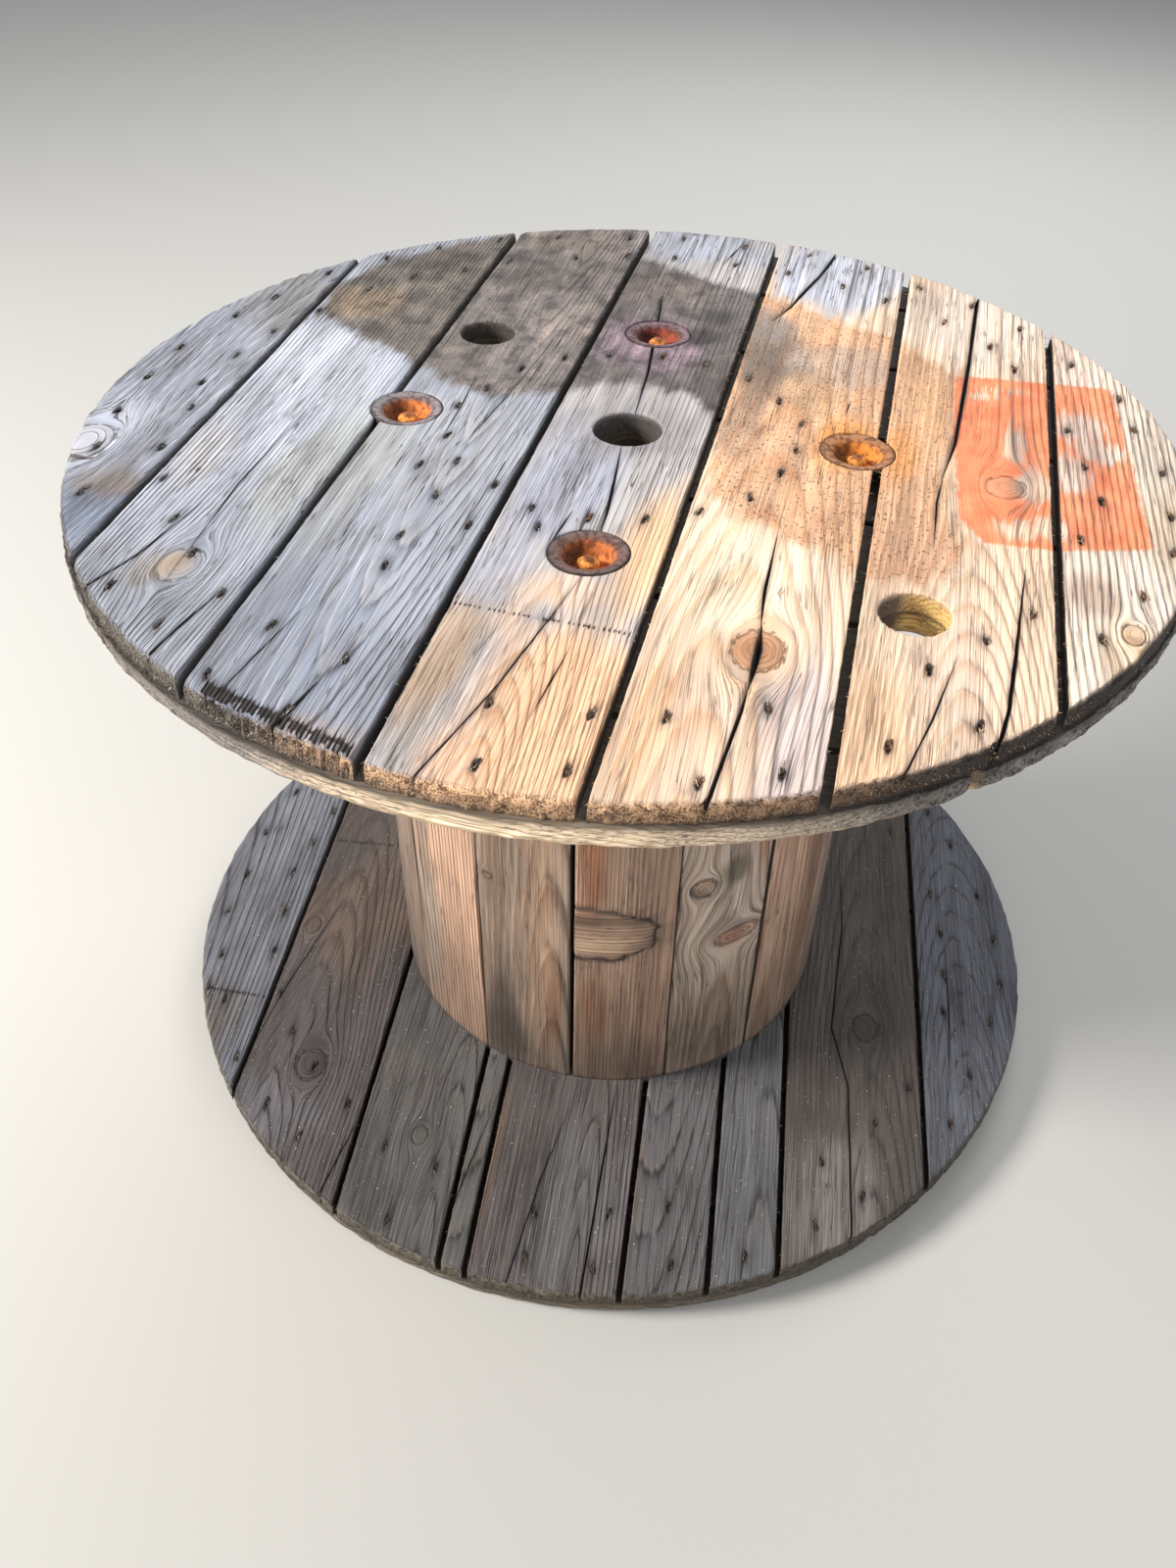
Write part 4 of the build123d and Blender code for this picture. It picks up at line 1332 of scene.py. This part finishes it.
class Stave:
    """One stave of the barrel: where it stands, how it was cut and what has happened to it."""

    def __init__(self, number):
        self.number, self.name = number, f"stave_{number:02d}"
        self.seed = number * 13.0
        co = node_points(self.name)
        radius, angle = np.hypot(co[:, 0], co[:, 1]), np.arctan2(co[:, 1], co[:, 0])
        middle = math.atan2(np.sin(angle).mean(), np.cos(angle).mean())
        off = (angle - middle + math.pi) % TAU - math.pi
        self.outer, self.inner = radius.max(), radius.min()
        on_face = radius > self.outer - 0.5
        self.start, self.end = middle + off[on_face].min(), middle + off[on_face].max()
        self.foot, self.head = co[:, 2].min(), co[:, 2].max()
        self.width = (self.end - self.start) * self.outer
        self.knots = own_marks(STAVE_KNOTS, number)
        self.branches = own_marks(STAVE_BRANCHES, number)
        rng = random.Random(number * 7)
        usual = (
            rng.uniform(-45, 45), rng.uniform(30, 90), rng.uniform(-0.05, 0.05),
            rng.uniform(3.2, 4.6), 0.4,
        )
        self.cut = STAVE_CUTS.get(number, usual)

    def under_hole(self, radius, angle):
        """Whether a place lies under the start hole for the cable."""
        hx, hy, hole_radius = start_hole
        off = np.hypot(radius * np.cos(angle) - hx, radius * np.sin(angle) - hy)
        return off < hole_radius + 2

    def heights(self, share, notched):
        """Heights at a share of the way up to the head, which is notched under the start hole."""
        head = np.where(notched, self.head - START_NOTCH, self.head)
        return self.foot + share * (head - self.foot)

    def face_grid(self):
        """Place across, share of the way up and angle of each point on the outer face."""
        length = self.head - self.foot
        columns = round(self.width / 1.7)
        rows = round(length / (4.0 if self.knots or self.branches else 12))
        shaded_foot = (BASE_FACE + np.array((1.0, 3.5)) - self.foot) / length
        shares = np.union1d(np.linspace(0, 1, rows + 1), shaded_foot)
        places = np.linspace(-self.width / 2, self.width / 2, columns + 1)
        across, share = np.meshgrid(places, shares)
        return across, share, (self.start + self.end) / 2 + across / self.outer

    def branch_gap(self, across, height, branch):
        """How far points are from a branch's heart, where its ragged edge is at 1."""
        ragged = 0.09 * wander(across / 12, height / 7, self.seed)
        return oval_gap(across, height, *branch) + ragged

    def rings(self, across, height):
        """Where the grain runs, across and along; the year's ring; distance to the nearest knot."""
        pith, depth, taper, ring_width, _ = self.cut
        flow, lengthwise, knot_gap = across, height, np.full(across.shape, NO_KNOT)
        for kx, kz, half_width, half_height, _ in self.knots:
            reach = (1.1 * half_width) ** 2
            far = (across - kx) ** 2 + (0.7 * (height - kz) * half_width / half_height) ** 2
            flow = flow - (across - kx) * reach / np.maximum(far, reach)
            gap = oval_gap(across, height, kx, kz, half_width, half_height)
            knot_gap = np.minimum(knot_gap, gap)
        ring = np.hypot(flow - pith, depth + taper * height) / ring_width
        ring = np.where(knot_gap < 1, 60 + 3.5 * knot_gap, ring)
        for *branch, _ in self.branches:
            within = self.branch_gap(across, height, branch) < 1
            ring = np.where(within, 80 + (height - branch[1]) / 5.5, ring)
            flow = np.where(within, height, flow)
            lengthwise = np.where(within, across, lengthwise)
        return flow, lengthwise, ring, knot_gap

    def relief(self, across, height, ring, edge):
        """Height of the worn face over the CAD's face, and distance to the closest hurt."""
        skin = -0.5 + self.cut[4] * (ridge_profile(ring) - 1)
        skin = skin + 0.3 * wander(across / 40, height / 200, self.seed)
        hurt = np.full(across.shape, UNHURT)
        for *knot, proud in self.knots:
            gap = oval_gap(across, height, *knot)
            skin += proud * (1 - step(0.1, 0.95, gap)) - 1.3 * bead(gap, 1, 0.12)
            hurt = np.minimum(hurt, 0.6 + 22 * np.abs(gap - 1))
        # A branch's dark ragged outline is bark and painted shadow under its raised edge
        for *branch, proud in self.branches:
            gap = self.branch_gap(across, height, branch)
            skin += proud * (1 - step(0.3, 0.95, gap)) - 1.8 * bead(gap, 1, 0.10)
            uneven = 1 + 0.6 * wander(across / 7, height / 5, self.seed)
            hurt = np.minimum(hurt, 0.2 + 14 * np.abs(gap - 1) * uneven)
        return np.minimum(skin - rounded(edge, STAVE_ROUND), -SHY), hurt

    def back(self, shares):
        """Columns of points down the two joints and over the inner face."""
        angles = np.linspace(self.end, self.start, 7)
        angles = np.array([self.end - JOINT_SHY, *angles, self.start + JOINT_SHY])
        radius = np.full(len(angles), self.inner)
        radius[[0, -1]] = (self.outer + self.inner) / 2
        height = self.heights(shares[:, None], self.under_hole(radius, angles))
        plan = (np.broadcast_to(radius * turn(angles), height.shape) for turn in (np.cos, np.sin))
        return np.stack([*plan, height], -1)

    def tones(self, across, height):
        """Tone at each point: the stave's own, with soft-edged blotches over it."""
        base = STAVE_FRONT.get(self.number, STAVE_TONES[self.number % len(STAVE_TONES)])
        colour = np.tile(tone(base), (len(across), 1))
        for *blotch, code in own_marks(STAVE_BLOTCHES, self.number):
            gap = oval_gap(across, height, *blotch)
            gap = gap + 0.25 * wander(across / 16, height / 50, self.seed)
            colour = mixed(colour, tone(code), 0.75 * (1 - step(0.4, 1.3, gap)))
        return colour

    def mesh(self):
        """Closed mesh with what the wood's material needs to know at each point."""
        across, share, angle = self.face_grid()
        notched = self.under_hole(self.outer, angle)
        notched |= self.under_hole(self.outer - STAVE_THICKNESS, angle)
        height = self.heights(share, notched)
        edge = np.minimum(across + self.width / 2, self.width / 2 - across)
        flow, lengthwise, ring, knot_gap = self.rings(across, height)
        skin, hurt = self.relief(across, height, ring, edge)
        radius = self.outer + skin
        face = np.stack([radius * np.cos(angle), radius * np.sin(angle), height], -1)
        loops = np.concatenate([face, self.back(share[:, 0])], 1)
        behind = loops.shape[1] - across.shape[1]

        index = np.arange(loops.size // 3).reshape(loops.shape[:2])
        low, high = index[:-1], index[1:]
        faces = np.stack([low, np.roll(low, -1, 1), np.roll(high, -1, 1), high], -1)
        faces = faces.reshape(-1, 4).tolist() + [index[0][::-1].tolist(), index[-1].tolist()]

        def over_loop(values, filler):
            """A field of the outer face, with one value for all the points behind it."""
            return np.pad(values, ((0, 0), (0, behind)), constant_values=filler).ravel()

        wide, high = over_loop(across, 0.0), loops[..., 2].ravel()
        hidden = over_loop(np.zeros(across.shape), 1.0)
        over_floor = high - BASE_FACE
        # Painted shade on the faces behind, inside the barrel; darker at the joints
        grime = np.maximum(0.75 * hidden, 0.5 * step(1.4, 0.0, over_loop(edge, 0.0)))
        # Darker towards the bottom, with a line of painted shade where the staves stand on the base
        # flange
        grime = np.maximum(grime, 0.62 * step(230, -20, over_floor))
        grime = np.maximum(grime, 0.92 * step(3.5, 1.0, over_floor))
        colour = self.tones(wide, high)
        zero = np.zeros(len(wide))
        grain_x, grain_y = over_loop(flow, 0.0), over_loop(lengthwise, 0.0)
        fields = {
            "grain": np.stack([grain_x + self.seed * 31, grain_y + self.seed * 17, zero], 1),
            "ring": over_loop(ring, 0.0), "clean": colour, "stained": colour,
            "stain": zero + UNSTAINED, "paint": zero + UNSTAINED, "worn": zero,
            "hurt": over_loop(hurt, UNHURT), "end": zero, "grime": grime,
            "knot": over_loop(knot_gap, NO_KNOT), "silver": zero + 0.3, "rough": zero + 1.0,
        }
        return loops.reshape(-1, 3), faces, fields


for number in range(1, STAVE_COUNT + 1):
    stave = Stave(number)
    add_piece(
        f"worn_{stave.name}", *stave.mesh(), SPRUCE_STAVE, "staves", (stave.name,), sharp=50
    )


def clinched_nail(x, y, level, rng):
    """A wire nail's end, come up through the wood and hammered over along the grain."""
    way = rng.choice((-1, 1))
    length, drift = rng.uniform(6, 10), rng.uniform(-2.5, 2.5)
    course = (
        (0, 0, -5.0, 1.6), (0, 0.3, -1.9, 1.6), (0.1 * drift, 1.6, -1.2, 1.5),
        (0.6 * drift, 0.6 * length, -0.9, 1.1), (drift, length, -1.5, 0.3),
    )
    points, faces = [], []
    for i, (cx, cy, cz, radius) in enumerate(course):
        bent = i > 1
        for j in range(NAIL_SIDES):
            angle = TAU * j / NAIL_SIDES
            u, v = radius * math.cos(angle), radius * math.sin(angle)
            along, up = (cy, cz + v) if bent else (cy + v, cz)
            points.append((x + cx + u, y + way * along, level + up))
    for i in range(len(course) - 1):
        low, high = i * NAIL_SIDES, (i + 1) * NAIL_SIDES
        for j in range(NAIL_SIDES):
            k = (j + 1) % NAIL_SIDES
            faces.append((low + j, low + k, high + k, high + j))
    faces += [tuple(reversed(range(NAIL_SIDES))), tuple(range(high, high + NAIL_SIDES))]
    return np.array(points), faces if way > 0 else [tuple(reversed(face)) for face in faces]


def nail_heads(kind, name, tones):
    """All the nail ends of a layer as one piece, with tones for the left and for the right."""
    rng = random.Random(5)
    parts, colours = [], []
    for board in boards.values():
        if board.node.startswith(kind):
            for x, y in board.nails:
                points, faces = clinched_nail(x, y, board.top, rng)
                points[:, 0], points[:, 1] = turned(points[:, 0], points[:, 1], board.turn)
                parts.append((points, faces))
                code = rng.choice(tones[x > SUNLIT_FROM])
                colours.append(np.tile(tone(code), (len(points), 1)))
    add_piece(name, *joined(parts), {"clean": np.concatenate(colours)}, RUSTED_WIRE, "rusty_steel")


BLACK_WIRE = ("#211C1B", "#2B2523", "#1C1A1B", "#332A26")
BROWN_WIRE = ("#3C2A22", "#54382A", "#2E2421", "#6A462F")
nail_heads("top_board", "clinched_nails_top", (BLACK_WIRE, BROWN_WIRE))
nail_heads("base_board", "clinched_nails_base", (BLACK_WIRE, BLACK_WIRE))


def splinter(root, way, length, width):
    """One fibre: a thin closed spike."""
    way = np.array(way, float)
    way /= np.linalg.norm(way)
    aside = np.cross(way, (0.3, 0.2, 0.93))
    aside *= width / 2 / max(np.linalg.norm(aside), 1e-6)
    over = 0.8 * np.cross(way, aside)
    points = (aside, -0.5 * aside + over, -0.5 * aside - over, way * length)
    return np.array(root, float) + points, [(0, 1, 3), (1, 2, 3), (2, 0, 3), (0, 2, 1)]


class Fuzz:
    """Torn fibres of one flange's face, grown one by one, with tones for its left and right."""

    def __init__(self, tones, seed):
        self.tones, self.rng = tones, random.Random(seed)
        self.parts, self.colours = [], []

    def grow(self, board, root, way, length, width):
        """One fibre in a board's own plan, of a length and a width between two limits."""
        length, width = self.rng.uniform(*length), self.rng.uniform(*width)
        code = self.rng.choice(self.tones[root[0] > SUNLIT_FROM])
        points, faces = splinter(root, way, length, width)
        points[:, 0], points[:, 1] = turned(points[:, 0], points[:, 1], board.turn)
        self.parts.append((points, faces))
        self.colours.append(np.tile(tone(code) * self.rng.uniform(0.75, 1.1), (4, 1)))

    def along_rim(self, board, count):
        """Ends of fibres that the saw has torn at the rim, most across the grain."""
        between = self.rng.uniform
        first = math.acos(min(1, board.high / board.rim))
        last = math.acos(max(-1, board.low / board.rim))
        for _ in range(round(count * ((last - first) / math.pi))):
            angle = between(first, last) * self.rng.choice((-1, 1))
            cx, cy = math.cos(angle), math.sin(angle)
            if self.rng.random() > 0.25 + abs(cy):
                continue
            sunk = between(0.0, 1.0) ** 0.7
            r = board.rim - 1.6 - 2.4 * (1 - sunk)
            way = (cx * 0.8 + between(-0.6, 0.6), cy * 0.8 + between(-0.3, 0.3), between(-0.6, 0.5))
            root = (r * cx, r * cy, board.top - 1.6 - 15 * sunk)
            self.grow(board, root, way, (1.2, 2.6), (0.5, 1.1))

    def along_gaps(self, board, count):
        """Splinters that stand off a board's long edges."""
        between = self.rng.uniform
        for _ in range(count):
            side = self.rng.choice((board.low, board.high))
            if abs(side) > board.rim - 5:
                continue
            half = math.sqrt(board.rim**2 - side**2)
            y = between(-half, half)
            inward = 1 if side == board.high else -1
            way = (inward * between(0.4, 1.0), between(-1.0, 1.0), between(-0.5, 0.15))
            root = (side - 1.0 * inward, y, board.top - between(1.6, 5))
            self.grow(board, root, way, (2, 5.5), (0.5, 0.9))

    def in_holes(self, board, count):
        """Fuzz where a hole cuts the grain: so many fibres for each millimetre of its radius."""
        between = self.rng.uniform
        for hx, hy, r in board.holes:
            for _ in range(round(count * r)):
                angle = between(0, TAU)
                cx, cy = math.cos(angle), math.sin(angle)
                way = (between(-0.4, 0.4) - cx, between(-0.4, 0.4) - cy, between(-0.9, 0.2))
                if abs(cy) > 0.55:
                    out = r + 0.6
                    root = (hx + out * cx, hy + out * cy, board.top - between(1.6, 15))
                    self.grow(board, root, way, (1.5, 3.5), (0.5, 0.9))

    def at_nails(self, board):
        """Splinters along the grain that the nails have lifted."""
        between = self.rng.uniform
        for x, y in board.nails:
            for _ in range(self.rng.randrange(2, 8)):
                way = (between(-0.5, 0.5), self.rng.choice((-1, 1)), between(-0.02, 0.10))
                root = (x + between(-2.5, 2.5), y + between(-5, 5), board.top - 1.1)
                self.grow(board, root, way, (3, 8), (0.6, 1.2))


def torn_fibres(name, kind, slot, tones, rim_count, gap_count, seed):
    """All the fibres of a layer as one piece: so many round the rim and at each board's edges."""
    fuzz = Fuzz(tones, seed)
    for board in boards.values():
        if board.node.startswith(kind):
            fuzz.along_rim(board, rim_count)
            fuzz.along_gaps(board, gap_count)
            fuzz.in_holes(board, HOLE_FUZZ)
            fuzz.at_nails(board)
    points, faces = joined(fuzz.parts)
    points[:, 2] = np.minimum(points[:, 2], TOP_FACE - SHY)
    add_piece(name, points, faces, {"clean": np.concatenate(fuzz.colours)}, TORN_FIBRE, slot)


# Fibres on the left are grey, as in painted shade, and on the right gold, as in painted sunlight
GREY_FIBRE = ("#A39C92", "#827A70", "#6A6056", "#B9B4AE", "#57504A")
GOLD_FIBRE = ("#D2B48A", "#AF906B", "#8A6E50", "#E2CBA6", "#6E5844")
DULL_FIBRE = ("#6E6254", "#857866", "#5A5046")
torn_fibres("torn_fibres_top", "top_board", "top_boards", (GREY_FIBRE, GOLD_FIBRE), 6400, 120, 21)
torn_fibres("torn_fibres_base", "base_board", "base_boards", (DULL_FIBRE, DULL_FIBRE), 1800, 40, 22)

camera_data = bpy.data.cameras.new("camera")
camera_data.lens = CAMERA_LENS
camera_data.sensor_width = CAMERA_SENSOR
camera = add_object("camera", camera_data)
aim = Matrix.Rotation(math.radians(CAMERA_HEADING), 4, "Z")
aim = aim @ Matrix.Rotation(math.radians(CAMERA_TILT), 4, "X")
aim = aim @ Matrix.Rotation(math.radians(CAMERA_ROLL), 4, "Z")
camera.matrix_world = Matrix.Translation(Vector(CAMERA_PLACE) * MM) @ aim
bpy.context.scene.camera = camera

# A plain pale floor, in metres, a hair below the drum
FLOOR_REACH, FLOOR_LEVEL = 12.0, -0.0005
floor_mesh = bpy.data.meshes.new("floor")
floor_plan = ((-1, -1), (1, -1), (1, 1), (-1, 1))
floor_corners = [(x * FLOOR_REACH, y * FLOOR_REACH, 0) for x, y in floor_plan]
floor_mesh.from_pydata(floor_corners, [], [(0, 1, 2, 3)])
floor_material, _, floor_shader = new_material("pale_matt_floor")
floor_shader.inputs["Base Color"].default_value = linear("#A9A8A5")
floor_shader.inputs["Roughness"].default_value = 0.9
floor_mesh.materials.append(floor_material)
floor = add_object("floor", floor_mesh)
floor.location.z = FLOOR_LEVEL

# Where the lights look: a little over the drum's middle, in metres
LIT_PLACE = Vector((0, 0, 0.4))


def add_light(name, place, size, watts, colour="#FFFFFF"):
    """A large soft panel of light that looks at the drum."""
    panel = bpy.data.lights.new(name, "AREA")
    panel.shape, panel.size, panel.energy = "DISK", size, watts
    panel.color = linear(colour)[:3]
    light = add_object(name, panel)
    light.location = place
    light.rotation_euler = (LIT_PLACE - Vector(place)).to_track_quat("-Z", "Y").to_euler()


add_light("key", (-3.2, -1.3, 2.3), 1.2, 320, "#FFFAF2")
add_light("fill", (3.0, -2.4, 2.4), 2.6, 60)
add_light("rear", (0.6, 3.4, 3.0), 2.4, 110)
add_light("low_front", (0.3, -3.6, 0.55), 2.4, 45, "#FFF4E6")
world = bpy.data.worlds.new("studio")
world.use_nodes = True
world.node_tree.nodes["Background"].inputs["Color"].default_value = linear("#E9EEF5")
world.node_tree.nodes["Background"].inputs["Strength"].default_value = 0.55
bpy.context.scene.world = world
bpy.context.scene.view_settings.view_transform = "Standard"
